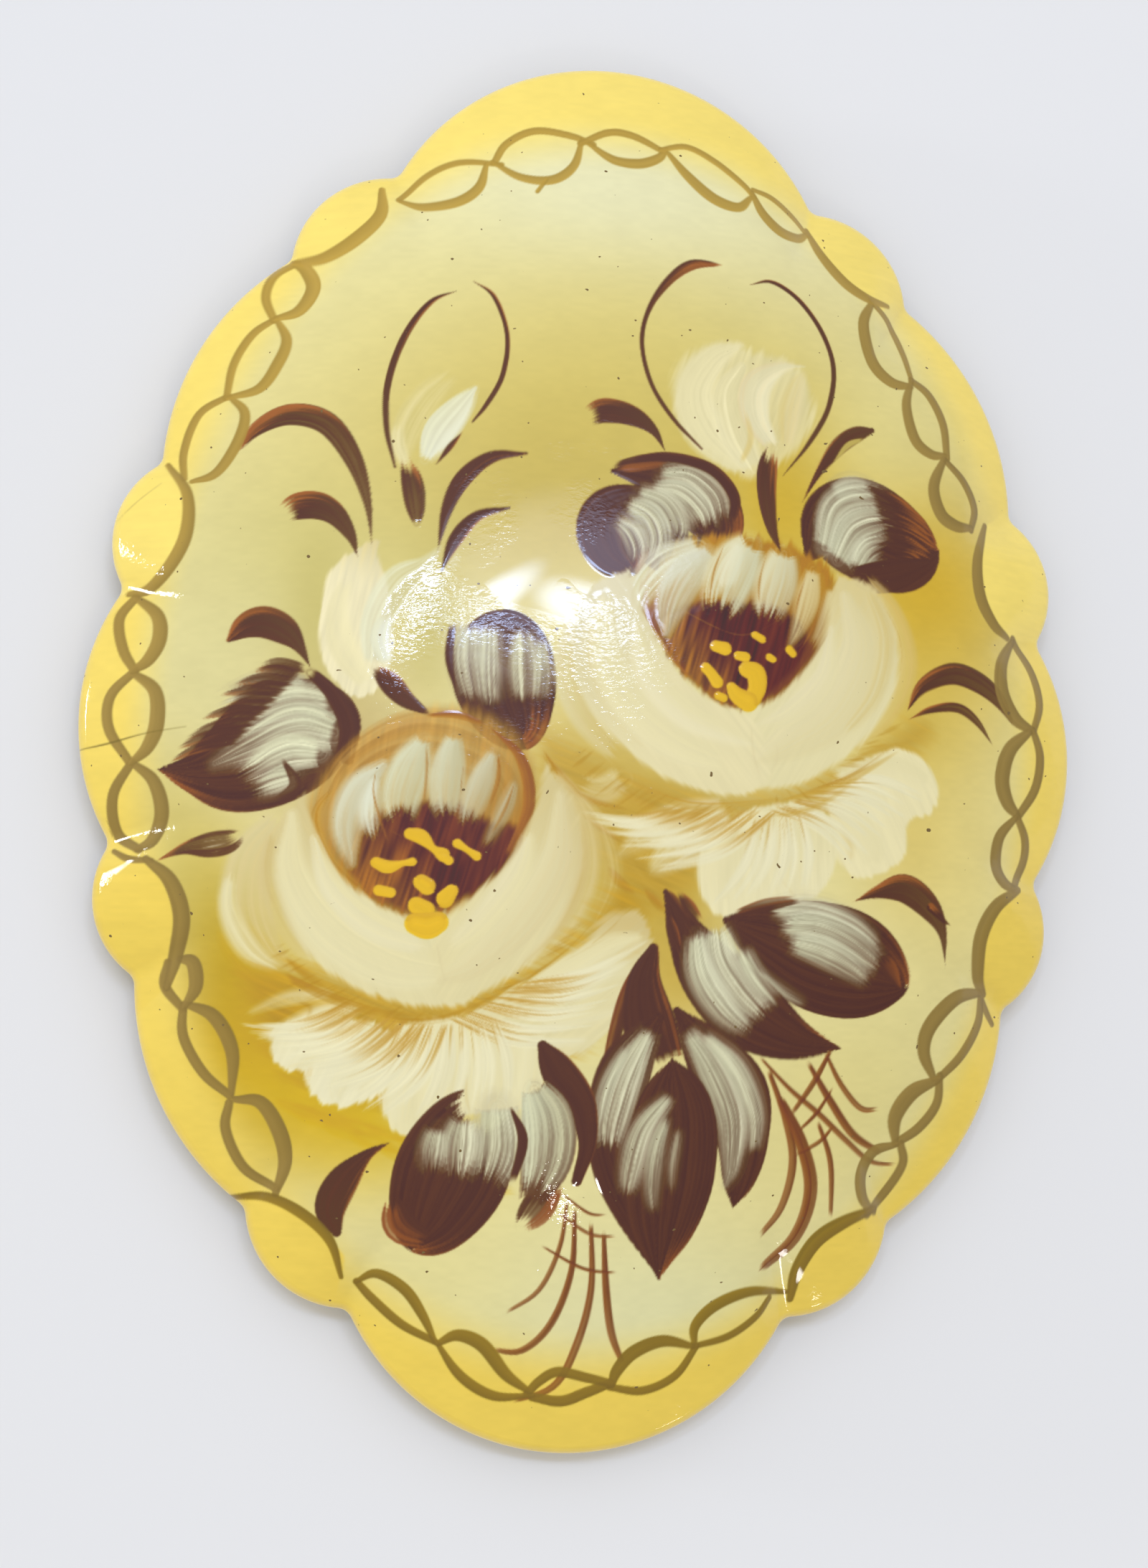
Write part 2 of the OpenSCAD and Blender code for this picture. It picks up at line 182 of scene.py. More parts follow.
def shape(cv, points, colour, soft=0.15, other=None, slope=None, opacity=1.0, wobble=0.1, grain=0.06,
    turn=0,
          lift=0.6, seed=1):
    """A filled patch with a soft edge. slope: x, y, x, y where colour turns into other.
    turn: bristle direction."""
    path = smooth_path(list(points) + [points[0]], 8)[:, :2]
    where = cv.window(path[:, 0].min() - 0.6, path[:, 0].max() + 0.6, path[:, 1].min() - 0.6,
        path[:, 1].max() + 0.6)
    x, y = cv.x[where], cv.y[where]
    a = math.radians(turn)
    across = (-x * math.sin(a) + y * math.cos(a)) * 4.5 + 60
    down = (x * math.cos(a) + y * math.sin(a)) * 0.5 + 60
    s = 0.6 * cloud(across, down, seed) + 0.4 * cloud(across * 2.3, down * 1.4, seed + 2)
    inside = np.zeros(x.shape, bool)
    best = np.full(x.shape, 1e9, np.float32)
    for (ax, ay), (bx, by) in zip(path[:-1], path[1:]):
        cross = (ay > y) != (by > y)
        inside ^= cross & (x < (bx - ax) * (y - ay) / ((by - ay) if by != ay else 1e-9) + ax)
        dx, dy = bx - ax, by - ay
        t = np.clip(((x - ax) * dx + (y - ay) * dy) / max(dx * dx + dy * dy, 1e-9), 0, 1)
        best = np.minimum(best, np.hypot(x - ax - t * dx, y - ay - t * dy))
    depth = np.where(inside, best, -best)
    alpha = ramp(-soft, soft, depth + wobble * (s - 0.5) * 2) * opacity
    tone = np.broadcast_to(np.array(colour, np.float32) / 255, x.shape + (3,))
    if other is not None:
        x0, y0, x1, y1 = slope
        t = ((x - x0) * (x1 - x0) + (y - y0) * (y1 - y0)) / ((x1 - x0) ** 2 + (y1 - y0) ** 2)
        m = ramp(0, 1, t + (s - 0.5) * 0.5)[..., None]
        tone = tone * (1 - m) + np.array(other, np.float32) / 255 * m
    tone = tone * (1 + grain * (s - 0.5) * 2)[..., None]
    cv.lay(where, tone, alpha, lift * (0.5 + 0.5 * s) * ramp(0, 0.4, depth))


# ---- The painting: colours, then what is painted where ----
BROWN, RUST = (88, 54, 34), (142, 82, 46)
PALE, MILK = (206, 204, 164), (222, 219, 182)
CREAM, BUTTER, SHADE = (224, 212, 160), (233, 221, 170), (210, 190, 130)
DEEP = (168, 112, 22)
HOLLOW_TONES = [(158, 106, 30), (96, 50, 18), (190, 140, 44)]
FIELD = (226, 214, 150)
# The chain's olive, with a lit version painted towards the top and a painted-shade version at the bottom.
OLIVE_LIT_TOP, OLIVE, OLIVE_SHADED_LOW = (180, 146, 62), (146, 120, 62), (138, 110, 36)
# The lobes' yellow comes in two versions: a lit one painted at the top and a darker painted-shade one at the
# bottom.
LOBE_LIT_TOP, LOBE_SHADED_LOW = (244, 218, 112), (234, 203, 90)

# Soft airbrushed patches: x, y, radius x, radius y, turn, colour, amount.
GLOWS = [
    (0, 29, 13, 6, 0, (231, 227, 184), 0.8), (-15, 22, 8, 6, 40, (227, 218, 156), 0.5),
    (0, 15, 16, 8, 0, (200, 176, 84), 0.8), (-4, 11, 8, 5, 0, (190, 166, 78), 0.6),
    (1, 21, 10, 5, 0, (212, 192, 104), 0.35), (-16, 8, 6, 5, 0, (196, 182, 104), 0.55),
    (17, 8, 5.5, 6, -30, (206, 164, 40), 0.95), (17.5, 3.5, 5, 6, 0, (212, 180, 76), 0.6),
    (9, 12, 4, 5, 0, (202, 164, 44), 0.85), (17, 0, 3, 3, 0, (206, 172, 62), 0.5),
    (2, -8, 5, 6, 0, (184, 148, 48), 0.75), (-1, -3, 5, 4, 0, (196, 164, 70), 0.75),
    (2.6, -6.5, 3, 3, 0, (192, 152, 40), 0.7), (17, -5, 4, 5, 0, (215, 189, 100), 0.8),
    (-14, -2, 4, 5, 0, (174, 144, 84), 0.6), (-19, -12.5, 2.6, 6.5, 20, (184, 146, 26), 0.95),
    (-17, -17, 4.5, 4, -30, (190, 150, 36), 0.9),
    (-13, -20, 6, 3.2, -20, (206, 166, 24), 0.9), (-16, -21, 5, 3, -25, (212, 178, 60), 0.5),
    (-23, -6, 3, 5, 0, (200, 180, 96), 0.5),
    (-20, 2, 5, 8, 0, (208, 198, 138), 0.6), (4, -30, 10, 4, 0, (221, 217, 166), 0.7),
    (-8, -29, 6, 4, 20, (222, 209, 138), 0.5),
    (13, -19, 8, 6, 30, (218, 202, 126), 0.6), (20, -6, 3, 6, 0, (229, 210, 130), 0.6),
    (15, 17, 4, 6, -30, (226, 212, 138), 0.5),
    (4, -13, 3, 3, 0, (190, 150, 40), 0.5), (-21, -9, 2.5, 5, 10, (202, 184, 96), 0.5),
]

# The chain of loops inside each big lobe, and one arc behind each small lobe: half width, then points.
CHAIN = [
    # end lobe at the top
    (0.15, (-11.7, 28.9), (-10.2, 30.4), (-8.5, 31.1), (-6.3, 30.9)),
    (0.3, (-11.6, 28.8), (-10.2, 28.3), (-8.6, 28.5), (-7.5, 29.4), (-7.1, 30.9)),
    (0.17, (-6.7, 31.0), (-6.0, 32.3), (-4.5, 33.2), (-2.6, 33.0), (-1.3, 32.5)),
    (0.26, (-6.8, 31.1), (-5.3, 30.1), (-3.6, 30.0), (-2.4, 31.0), (-1.9, 32.8)),
    (0.1, (-3.9, 30.0), (-4.4, 29.2)), (0.17, (-2.0, 32.5), (-0.4, 33.4), (1.0, 33.3), (2.6, 32.5)),
    (0.3, (-1.5, 32.5), (-0.2, 31.6), (1.2, 31.5), (2.3, 32.0), (2.8, 32.7)),
    (0.16, (2.5, 32.6), (4.0, 33.0), (5.6, 32.3), (7.2, 31.1), (7.8, 30.4)),
    (0.32, (2.9, 32.4), (4.0, 31.0), (5.4, 29.8), (6.8, 29.5), (7.6, 30.3)),
    (0.13, (7.8, 30.9), (9.0, 30.6), (10.3, 29.7), (11.2, 28.8)),
    (0.32, (7.7, 30.7), (8.3, 29.4), (9.3, 28.5), (10.4, 28.4), (11.1, 28.9)),
    # small lobes and diagonal lobe, upper right
    (0.15, (14.6, 25.1), (15.8, 24.0), (16.5, 22.3), (16.9, 20.6)),
    (0.38, (14.7, 25.0), (14.0, 23.4), (14.4, 21.2), (15.5, 20.2), (16.8, 20.2)),
    (0.22, (16.9, 20.6), (18.0, 19.9), (18.8, 18.3), (18.9, 16.3)),
    (0.34, (16.9, 20.6), (16.4, 18.9), (16.8, 17.0), (17.8, 16.3), (18.8, 16.4)),
    (0.2, (18.8, 16.1), (20.0, 15.1), (20.7, 13.7), (20.4, 12.4)),
    (0.4, (18.7, 16.2), (17.9, 14.4), (18.3, 12.9), (19.3, 12.4), (20.4, 12.5)),
    # side lobe at the right
    (0.22, (23.2, 6.6), (24.5, 5.0), (25.0, 3.2), (24.5, 1.6)),
    (0.46, (23.2, 6.5), (22.3, 5.0), (22.3, 3.4), (23.2, 2.1), (24.4, 1.6)),
    (0.24, (24.5, 1.6), (25.0, 0.2), (24.7, -1.6), (23.6, -3.2)),
    (0.48, (24.2, 1.5), (22.8, 0.3), (22.3, -1.3), (22.7, -2.5), (23.5, -3.2)),
    (0.22, (23.5, -3.3), (24.2, -4.5), (24.2, -5.8), (23.5, -7.2)),
    (0.38, (23.4, -3.3), (22.3, -4.5), (22.2, -6.0), (22.8, -6.9), (23.7, -7.2)),
    (0.14, (21.7, -12.9), (22.2, -13.8), (22.8, -14.6)),
    # diagonal lobe, lower right
    (0.22, (21.8, -13.1), (21.7, -14.6), (20.7, -16.3), (19.3, -17.6)),
    (0.44, (21.9, -12.9), (20.0, -13.3), (18.4, -14.8), (18.1, -16.2), (18.9, -17.6)),
    (0.24, (19.3, -17.5), (19.3, -19.0), (18.3, -20.3), (17.0, -21.1)),
    (0.46, (19.2, -17.7), (17.6, -18.4), (16.7, -19.7), (16.9, -21.1)),
    (0.22, (17.3, -21.2), (17.6, -22.3), (16.7, -23.9), (15.7, -25.0)),
    (0.34, (17.0, -21.2), (15.6, -21.6), (15.0, -22.8), (15.3, -24.1), (16.2, -24.9)),
    # end lobe at the bottom
    (0.15, (10.5, -29.5), (9.8, -30.5), (8.3, -31.5), (6.4, -32.0)),
    (0.3, (11.5, -29.2), (9.2, -29.1), (7.3, -29.8), (6.3, -30.9), (6.4, -32.0)),
    (0.17, (6.5, -32.0), (5.5, -33.6), (3.8, -34.4), (2.0, -34.2)),
    (0.34, (6.3, -32.0), (4.6, -31.7), (3.1, -32.3), (2.3, -33.3), (2.1, -34.1)),
    (0.24, (2.0, -34.0), (0.8, -34.5), (-0.5, -35.0), (-2.0, -34.8)),
    (0.2, (2.1, -34.0), (0.7, -33.7), (-0.8, -33.4), (-1.7, -33.9), (-2.3, -34.6)),
    (0.26, (-2.0, -34.7), (-4.0, -34.8), (-5.8, -33.8), (-7.2, -32.0)),
    (0.34, (-2.2, -34.5), (-3.5, -33.6), (-4.8, -32.1), (-6.1, -31.6), (-7.1, -32.1)),
    (0.18, (-7.3, -32.0), (-9.0, -31.2), (-10.5, -30.0), (-11.4, -29.1)),
    (0.26, (-7.2, -32.1), (-8.0, -30.6), (-9.0, -29.3), (-10.4, -28.6), (-11.4, -29.1)),
    # diagonal lobe, lower left
    (0.2, (-18.4, -20.1), (-18.5, -21.5), (-17.5, -23.4), (-15.8, -24.4)),
    (0.38, (-18.1, -19.9), (-16.8, -20.0), (-15.8, -21.4), (-15.4, -23.0), (-15.8, -24.7)),
    (0.2, (-21.0, -15.2), (-20.9, -16.8), (-19.8, -18.6), (-18.4, -19.7)),
    (0.36, (-20.9, -15.1), (-19.4, -15.7), (-18.4, -17.4), (-18.3, -19.6)),
    (0.2, (-21.9, -13.0), (-22.0, -14.2), (-21.0, -15.4)),
    (0.36, (-21.3, -12.8), (-20.6, -13.0), (-20.4, -14.2), (-20.9, -15.2)),
    (0.12, (-25.0, -7.3), (-24.2, -7.7), (-23.0, -7.8)),
    # side lobe at the left
    (0.22, (-24.3, -2.7), (-25.2, -4.4), (-24.9, -6.3), (-23.7, -7.2)),
    (0.36, (-24.3, -2.7), (-23.1, -3.7), (-22.6, -5.3), (-23.0, -6.7), (-23.8, -7.2)),
    (0.22, (-24.4, 2.1), (-25.6, 0.8), (-25.6, -0.9), (-24.4, -2.7)),
    (0.38, (-24.5, 2.0), (-23.3, 1.0), (-23.1, -0.6), (-23.5, -1.9), (-24.3, -2.7)),
    (0.22, (-24.6, 6.2), (-25.4, 5.0), (-25.1, 3.3), (-24.4, 2.1)),
    (0.38, (-24.6, 6.2), (-23.4, 5.1), (-23.2, 3.8), (-23.7, 2.7), (-24.5, 2.1)),
    # diagonal lobe, upper left
    (0.16, (-22.4, 12.6), (-22.5, 14.2), (-21.8, 16.2), (-20.3, 17.1)),
    (0.28, (-22.0, 12.4), (-20.7, 12.8), (-19.7, 14.4), (-19.4, 16.0), (-20.2, 17.0)),
    (0.17, (-20.4, 17.0), (-20.1, 19.0), (-19.2, 20.7), (-18.0, 21.6)),
    (0.3, (-20.3, 17.0), (-18.7, 17.4), (-17.8, 18.8), (-17.4, 20.2), (-18.0, 21.6)),
    (0.19, (-18.1, 21.5), (-18.6, 23.0), (-18.2, 24.4), (-17.0, 25.2)),
    (0.36, (-18.0, 21.6), (-16.8, 22.0), (-16.1, 23.4), (-16.5, 24.6), (-17.1, 25.1)),
]

# The arc behind each small lobe.
ARCS = [
    (0.32, (11.1, 29.2), (11.8, 27.4), (13.0, 25.9), (14.4, 25.2), (15.8, 25.1)),
    (0.36, (21.5, 12.9), (20.7, 10.6), (20.8, 8.6), (21.7, 7.2), (22.8, 6.6)),
    (0.44, (23.9, -7.2), (22.2, -8.3), (21.3, -10.0), (21.4, -12.0), (22.0, -13.0)),
    (0.42, (16.2, -24.7), (14.2, -25.4), (12.7, -26.4), (11.9, -28.0), (11.8, -29.6)),
    (0.26, (-18.3, -25.1), (-16.2, -24.9), (-14.3, -25.7), (-12.9, -27.0), (-12.2, -28.9)),
    (0.42, (-23.3, -7.7), (-22.0, -8.8), (-21.3, -10.6), (-21.5, -12.6), (-21.9, -14.3)),
    (0.34, (-23.3, 13.5), (-22.2, 11.7), (-22.1, 9.5), (-22.8, 7.8), (-23.9, 6.6), (-25.0, 6.4)),
    (0.4, (-17.2, 25.2), (-15.6, 25.2), (-14.0, 26.2), (-12.7, 27.8), (-12.6, 29.6)),
]

# Single brown strokes: points with half widths, how much rust shows, and how frayed the start and end are.
COMMAS = [
    ([(-8.6, 22.9, 0.03), (-10.0, 22.2, 0.14), (-11.3, 20.2, 0.17), (-12.1, 17.5, 0.16),
    (-12.1, 15.0, 0.14), (-11.6, 12.8, 0.08)], 0.3, 0, 0),
    ([(-7.8, 23.5, 0.05), (-6.7, 22.6, 0.13), (-6.0, 20.4, 0.13), (-6.2, 18.1, 0.14), (-7.0, 16.4, 0.13),
    (-7.7, 15.4, 0.08)], 0.3, 0, 0),
    ([(-8.2, 14.8, 0.05), (-8.8, 14.0, 0.15), (-9.5, 13.0, 0.06)], 0.3, 0, 0),
    ([(-19.8, 13.7, 0.08), (-18.7, 15.1, 0.45), (-17.0, 15.8, 0.65), (-15.1, 15.2, 0.66),
    (-13.7, 13.2, 0.52), (-12.9, 10.8, 0.26), (-12.6, 8.4, 0.02)], 0.9, 0.8, 0),
    ([(-17.1, 10.3, 0.55), (-16.4, 10.7, 0.8), (-15.4, 10.7, 0.8), (-14.5, 10.2, 0.62), (-13.7, 9.1, 0.34),
    (-13.3, 7.9, 0.02)], 0.5, 0.8, 0),
    ([(-4.9, 13.8, 0.12), (-6.7, 13.5, 0.38), (-8.1, 12.3, 0.5), (-8.9, 10.6, 0.36), (-9.3, 8.4, 0.05)],
    0.1, 0, 0),
    ([(-5.7, 10.8, 0.1), (-7.3, 10.3, 0.34), (-8.4, 9.0, 0.42), (-9.1, 7.2, 0.05)], 0.1, 0, 0),
    ([(-11.1, 13.4, 0.3), (-10.7, 12.0, 0.62), (-10.5, 10.8, 0.58), (-10.4, 9.8, 0.25)], 0.8, 1.2, 0.3),
    ([(5.7, 25.6, 0.08), (4.0, 25.4, 0.24), (2.6, 24.2, 0.2), (1.5, 22.4, 0.13), (1.1, 20.4, 0.12),
    (1.6, 18.1, 0.12), (2.8, 16.2, 0.12), (4.3, 14.7, 0.08)], 0.6, 0.6, 0),
    ([(7.2, 24.6, 0.04), (8.5, 25.0, 0.12), (10.0, 24.2, 0.14), (11.3, 22.4, 0.14), (11.9, 20.3, 0.14),
    (11.5, 17.9, 0.14), (10.3, 15.7, 0.12), (8.8, 13.7, 0.04)], 0.4, 0, 0),
    ([(-1.7, 16.0, 0.55), (-0.8, 16.4, 0.75), (0.6, 16.2, 0.62), (1.7, 15.5, 0.32), (2.4, 14.3, 0.03)], 0.3,
    0.7, 0),
    ([(9.8, 12.2, 0.03), (10.9, 14.2, 0.28), (12.0, 15.7, 0.5), (13.1, 16.6, 0.5), (14.1, 17.0, 0.22)], 0.3,
    0, 0),
    ([(8.2, 15.3, 0.4), (7.9, 13.8, 0.62), (7.9, 12.2, 0.55), (8.2, 10.6, 0.35), (8.7, 9.4, 0.05)], 0.4,
    1.3, 0.3),
    ([(-19.6, 3.6, 0.2), (-18.8, 4.3, 0.7), (-17.9, 4.5, 0.9), (-16.9, 4.1, 0.8), (-16.1, 3.3, 0.4),
    (-15.4, 2.1, 0.03)], 0.4, 0.9, 0),
    ([(-12.3, 2.2, 0.2), (-11.4, 1.4, 0.62), (-10.6, 0.6, 0.5), (-9.4, -0.1, 0.15)], 0.2, 0.6, 0.4),
    ([(-22.9, -7.9, 0.02), (-21.4, -7.2, 0.35), (-20.1, -7.0, 0.7), (-19.1, -6.8, 0.65),
    (-18.4, -6.4, 0.2)], 1.2, 0.5, 1.0),
    ([(16.0, 1.6, 0.03), (17.0, 3.1, 0.42), (18.8, 4.0, 0.62), (20.5, 3.8, 0.65), (22.0, 3.0, 0.5),
    (23.2, 1.5, 0.05)], 0.6, 0.3, 0.6),
    ([(16.1, 1.2, 0.03), (17.5, 1.9, 0.25), (19.2, 2.2, 0.33), (20.5, 1.6, 0.28), (21.7, 0.3, 0.03)], 0.9,
    0.2, 0.4),
    ([(13.2, -8.6, 0.03), (14.6, -8.0, 0.38), (16.2, -7.7, 0.8), (17.7, -8.5, 0.75), (18.7, -9.8, 0.36),
    (19.1, -11.7, 0.02)], 0.6, 0.2, 0),
    ([(17.9, -8.6, 0.3), (18.7, -9.2, 0.2), (19.3, -9.5, 0.03)], 0.6, 0, 0),
    ([(-10.2, -21.7, 0.04), (-11.4, -22.5, 0.36), (-12.5, -23.9, 0.85), (-13.0, -25.3, 0.82),
    (-12.6, -26.5, 0.3)], 0.2, 0, 0),
]

# Thin rust grass strokes: half width, then points.
GRASS = [
    (0.1, (-1.1, -24.3), (-1.3, -26.8), (-2.2, -29.1), (-3.9, -30.4)),
    (0.14, (-0.7, -24.8), (-0.6, -28.0), (-1.4, -30.8), (-2.8, -32.3), (-4.4, -32.3)),
    (0.15, (0.2, -25.5), (0.5, -29.0), (0.0, -32.0), (-1.0, -34.2), (-3.2, -35.1)),
    (0.15, (0.9, -26.0), (1.3, -29.0), (1.8, -31.3), (2.6, -33.0)),
    (0.08, (-2.2, -26.8), (0.0, -27.9), (1.8, -28.1)), (0.08, (-1.6, -25.0), (0.2, -26.1), (1.7, -26.2)),
    (0.07, (-1.5, -24.0), (0.0, -25.0), (1.0, -25.1)),
    (0.12, (8.5, -16.8), (10.3, -18.4), (12.0, -19.6), (13.8, -21.0), (15.5, -22.1), (17.2, -22.3)),
    (0.16, (11.2, -17.0), (12.6, -18.9), (14.2, -20.7), (16.2, -21.7)),
    (0.12, (12.1, -16.4), (13.2, -18.1), (14.5, -19.3), (15.7, -19.3)),
    (0.16, (9.0, -17.4), (10.2, -20.0), (10.8, -22.2), (10.4, -24.6), (9.3, -26.2)),
    (0.26, (9.7, -18.8), (11.2, -21.2), (12.0, -23.7), (11.4, -26.2), (9.6, -28.0)),
    (0.12, (12.0, -20.0), (13.0, -22.2), (13.4, -25.2)),
    (0.12, (12.5, -16.2), (11.6, -18.0), (10.4, -19.8)),
    (0.09, (12.7, -18.3), (11.9, -19.6), (10.9, -20.6)), (0.09, (13.0, -20.2), (12.2, -21.1),
    (10.7, -21.9)),
]


def leaf(cv, body, sweeps, seed, rust=0.9, fray=(0.5, 0.9)):
    """A brown stroke for the leaf, then pale sweeps dragged over it.
    sweeps: points, how the bristles land and leave, dryness."""
    stroke(cv, body, BROWN, RUST, blend=(rust - 0.35, rust + 0.35), spread=0.3, along=(2.2, 0.72),
        fray=fray, rough=0.14, streaks=0.3, bristles=7, seed=seed)
    for k, (points, land, leave, dry) in enumerate(sweeps):
        wide = [(x, y, 1.35 * w + 0.15) for x, y, w in points]
        stroke(cv, wide, (152, 134, 110), (176, 166, 136), spread=0.6, soft=0.8, rough=0.5,
            fray=(land * 0.6, leave), dry=0.3,
               opacity=0.6, streaks=0.3, bristles=8, seed=seed + 11 * k + 5)
        stroke(cv, wide, PALE, MILK, blend=(-0.4, 1.1), spread=0.7, soft=0.5, rough=0.65,
            fray=(land, leave * 1.3), dry=min(dry + 0.25, 1),
               opacity=0.86, streaks=0.34, bristles=9, lift=1.2, seed=seed + 11 * (k + 1))


def strokes(cv, lines, colour, other, seed, **brush):
    """Several lines with the same brush, each with its own seed."""
    for k, line in enumerate(lines):
        stroke(cv, line, colour, other, seed=seed + k, **brush)


def brush_hollow(cv, start, drift, last_climb, seed):
    """Thin strokes brushed round a rose's hollow, each a little higher than the one before."""
    (ax, ay), (bx, by), (cx, cy), (dx, dy), (ex, ey) = start
    for k in range(11):
        up = 0.42 * k
        line = [(ax + drift * k, ay + up, 0.06), (bx, by + up + 0.1 * math.sin(k), 0.14),
            (cx, cy + up, 0.16),
                (dx, dy + up, 0.12), (ex, ey + up * last_climb, 0.06)]
        stroke(cv, line, HOLLOW_TONES[k % 3], (74, 34, 12), blend=(0.2, 1.4), fray=(1.2, 1.2), dry=0.6,
               rough=0.5, opacity=0.6, seed=seed + k)


def paint_leaves_behind(cv):
    # the leaf at the left, its tip outwards
    leaf(cv, [(-13.3, -2.6, 0.3), (-14.6, -0.8, 1.9), (-16.6, -1.6, 3.1), (-18.7, -2.9, 2.5),
        (-20.8, -3.3, 1.2), (-22.9, -3.1, 0.1)],
         [([(-15.4, 1.0, 0.5), (-17.4, 1.1, 0.75), (-19.6, 0.4, 0.5), (-20.8, -0.2, 0.2)], 0.9, 2.6, 0.9),
          ([(-14.4, 0.2, 0.7), (-16.4, 0.2, 1.0), (-18.6, -0.7, 0.7), (-20.4, -1.6, 0.3)], 0.4, 3.0, 0.95),
          ([(-14.1, -1.2, 0.7), (-16.0, -0.9, 1.1), (-18.2, -1.9, 0.8), (-20.0, -2.8, 0.3)], 0.3, 3.0,
          0.85),
          ([(-14.8, -2.2, 0.6), (-16.4, -2.2, 0.9), (-18.0, -3.1, 0.7), (-19.4, -3.9, 0.3)], 0.3, 2.4, 0.9),
          ([(-15.8, -3.3, 0.4), (-17.0, -3.6, 0.7), (-18.6, -4.3, 0.4)], 0.5, 1.6, 0.8)], 5,
          fray=(0.8, 0.5))
    for k in range(13):
        t = k / 12
        a, b = (-15.6 - 3.2 * t, 2.0 - 3.6 * t), (-18.6 - 4.0 * t + 0.5 * math.sin(k * 2.6),
            2.0 - 4.8 * t + 0.2 * math.sin(k * 1.9))
        stroke(cv, [(a[0], a[1], 0.35), ((a[0] + b[0]) / 2, (a[1] + b[1]) / 2 + 0.3, 0.42),
            (b[0], b[1], 0.1)], BROWN, (140, 84, 46),
               blend=(0.1, 0.9), along=(2.4, 0.5), fray=(0.5, 1.3), dry=0.35, rough=0.25, opacity=0.95,
               bristles=9, seed=31 + k)
    stroke(cv, [(-15.4, 1.9, 0.3), (-14.2, 0.7, 0.42), (-13.4, -1.0, 0.5), (-13.9, -2.9, 0.25)], BROWN,
        fray=(0.3, 0.6), seed=41)
    stroke(cv, [(-16.6, -2.6, 0.1), (-15.9, -3.9, 0.35), (-16.8, -4.8, 0.3)], BROWN, fray=(0.3, 0.4),
        dry=0.4, seed=42)
    # the leaf at the upper right
    leaf(cv, [(10.4, 9.6, 0.5), (11.4, 11.2, 1.7), (13.2, 11.3, 2.9), (15.2, 10.6, 2.7), (16.8, 10.4, 1.4),
        (18.0, 10.7, 0.2)],
         [([(11.6, 13.0, 0.4), (13.0, 13.5, 0.6), (15.0, 12.9, 0.4)], 0.5, 1.8, 0.7),
          ([(11.2, 10.0, 0.55), (12.0, 12.2, 0.9), (14.0, 13.0, 0.8), (15.8, 12.4, 0.3)], 0.2, 2.0, 0.5),
          ([(11.9, 9.4, 0.6), (13.0, 11.2, 1.0), (14.8, 11.9, 0.7), (16.0, 11.5, 0.3)], 0.3, 2.0, 0.6),
          ([(13.0, 9.0, 0.5), (13.8, 10.2, 0.8), (15.2, 10.8, 0.5)], 0.5, 1.6, 0.8)], 51, fray=(0.2, 1.2))
    for k in range(10):
        t = k / 9
        a, b = (13.4 + 1.6 * t,
            13.8 - 4.0 * t), (17.4 + 1.0 * math.sin(2.6 * t + 0.5) + 0.3 * math.sin(k * 3.1),
            12.0 - 2.6 * t)
        stroke(cv, [(a[0], a[1], 0.3), ((a[0] + b[0]) / 2, (a[1] + b[1]) / 2 + 0.25, 0.4),
            (b[0], b[1], 0.1)], BROWN, (158, 92, 34),
               blend=(-0.1, 0.7), along=(2.6, 0.5), fray=(0.8, 1.3), dry=0.35, rough=0.3, opacity=0.95,
               bristles=10, seed=61 + k)
    stroke(cv, [(12.6, 8.6, 0.4), (14.2, 8.7, 0.9), (15.8, 9.2, 0.8), (17.3, 9.9, 0.3)], BROWN,
        fray=(0.6, 0.6), seed=67)
    # two leaves at the top middle
    leaf(cv, [(-0.4, 13.1, 0.2), (0.9, 13.1, 0.75), (2.8, 12.7, 1.45), (4.5, 11.7, 1.8), (5.3, 10.5, 1.3),
        (5.0, 9.5, 0.5)],
         [([(2.0, 13.1, 0.3), (3.6, 13.1, 0.6), (4.9, 12.1, 0.75), (5.3, 10.6, 0.5)], 0.5, 1.0, 0.5),
          ([(1.6, 12.4, 0.3), (3.2, 12.2, 0.65), (4.3, 11.2, 0.7), (4.6, 10.1, 0.4)], 0.6, 1.0, 0.4)], 71,
          fray=(0.8, 0.5))
    stroke(cv, [(-0.5, 13.2, 0.3), (0.9, 13.6, 0.45), (2.6, 13.9, 0.3)], (150, 88, 48), BROWN,
        blend=(-0.4, 0.7), fray=(0.9, 0.7), dry=0.4, bristles=8, seed=77)
    stroke(cv, [(0.2, 13.7, 0.2), (2.6, 14.1, 0.3), (4.9, 13.6, 0.34), (6.1, 12.2, 0.34), (5.9, 10.7, 0.2)],
        BROWN, RUST, blend=(0.3, 1.2), fray=(0.8, 0.5), seed=78)
    stroke(cv, [(1.6, 8.1, 0.5), (3.0, 8.8, 0.75), (4.4, 9.5, 0.65), (5.6, 10.2, 0.25)], BROWN,
        fray=(0.5, 0.6), dry=0.3, seed=79)
    stroke(cv, [(0.4, 11.6, 0.9), (1.8, 10.4, 1.7), (2.2, 9.2, 1.3), (2.6, 8.4, 0.5)], BROWN, (74, 44, 28),
        fray=(0.3, 0.3), seed=83)
    leaf(cv, [(1.9, 11.9, 0.3), (0.7, 11.3, 1.2), (-0.2, 10.2, 2.1), (-0.1, 9.0, 1.7), (0.7, 8.0, 0.5)],
         [([(0.9, 12.1, 0.3), (2.3, 11.6, 0.6), (3.0, 10.4, 0.65), (2.8, 9.2, 0.3)], 0.4, 1.2, 0.3),
          ([(0.3, 11.4, 0.3), (1.5, 10.8, 0.7), (2.0, 9.6, 0.7), (1.6, 8.2, 0.4)], 0.5, 1.0, 0.4),
          ([(-0.4, 10.6, 0.2), (0.6, 9.9, 0.55), (1.0, 8.8, 0.5), (0.6, 7.9, 0.2)], 0.8, 0.9, 0.7)], 84,
          fray=(0.4, 0.4))
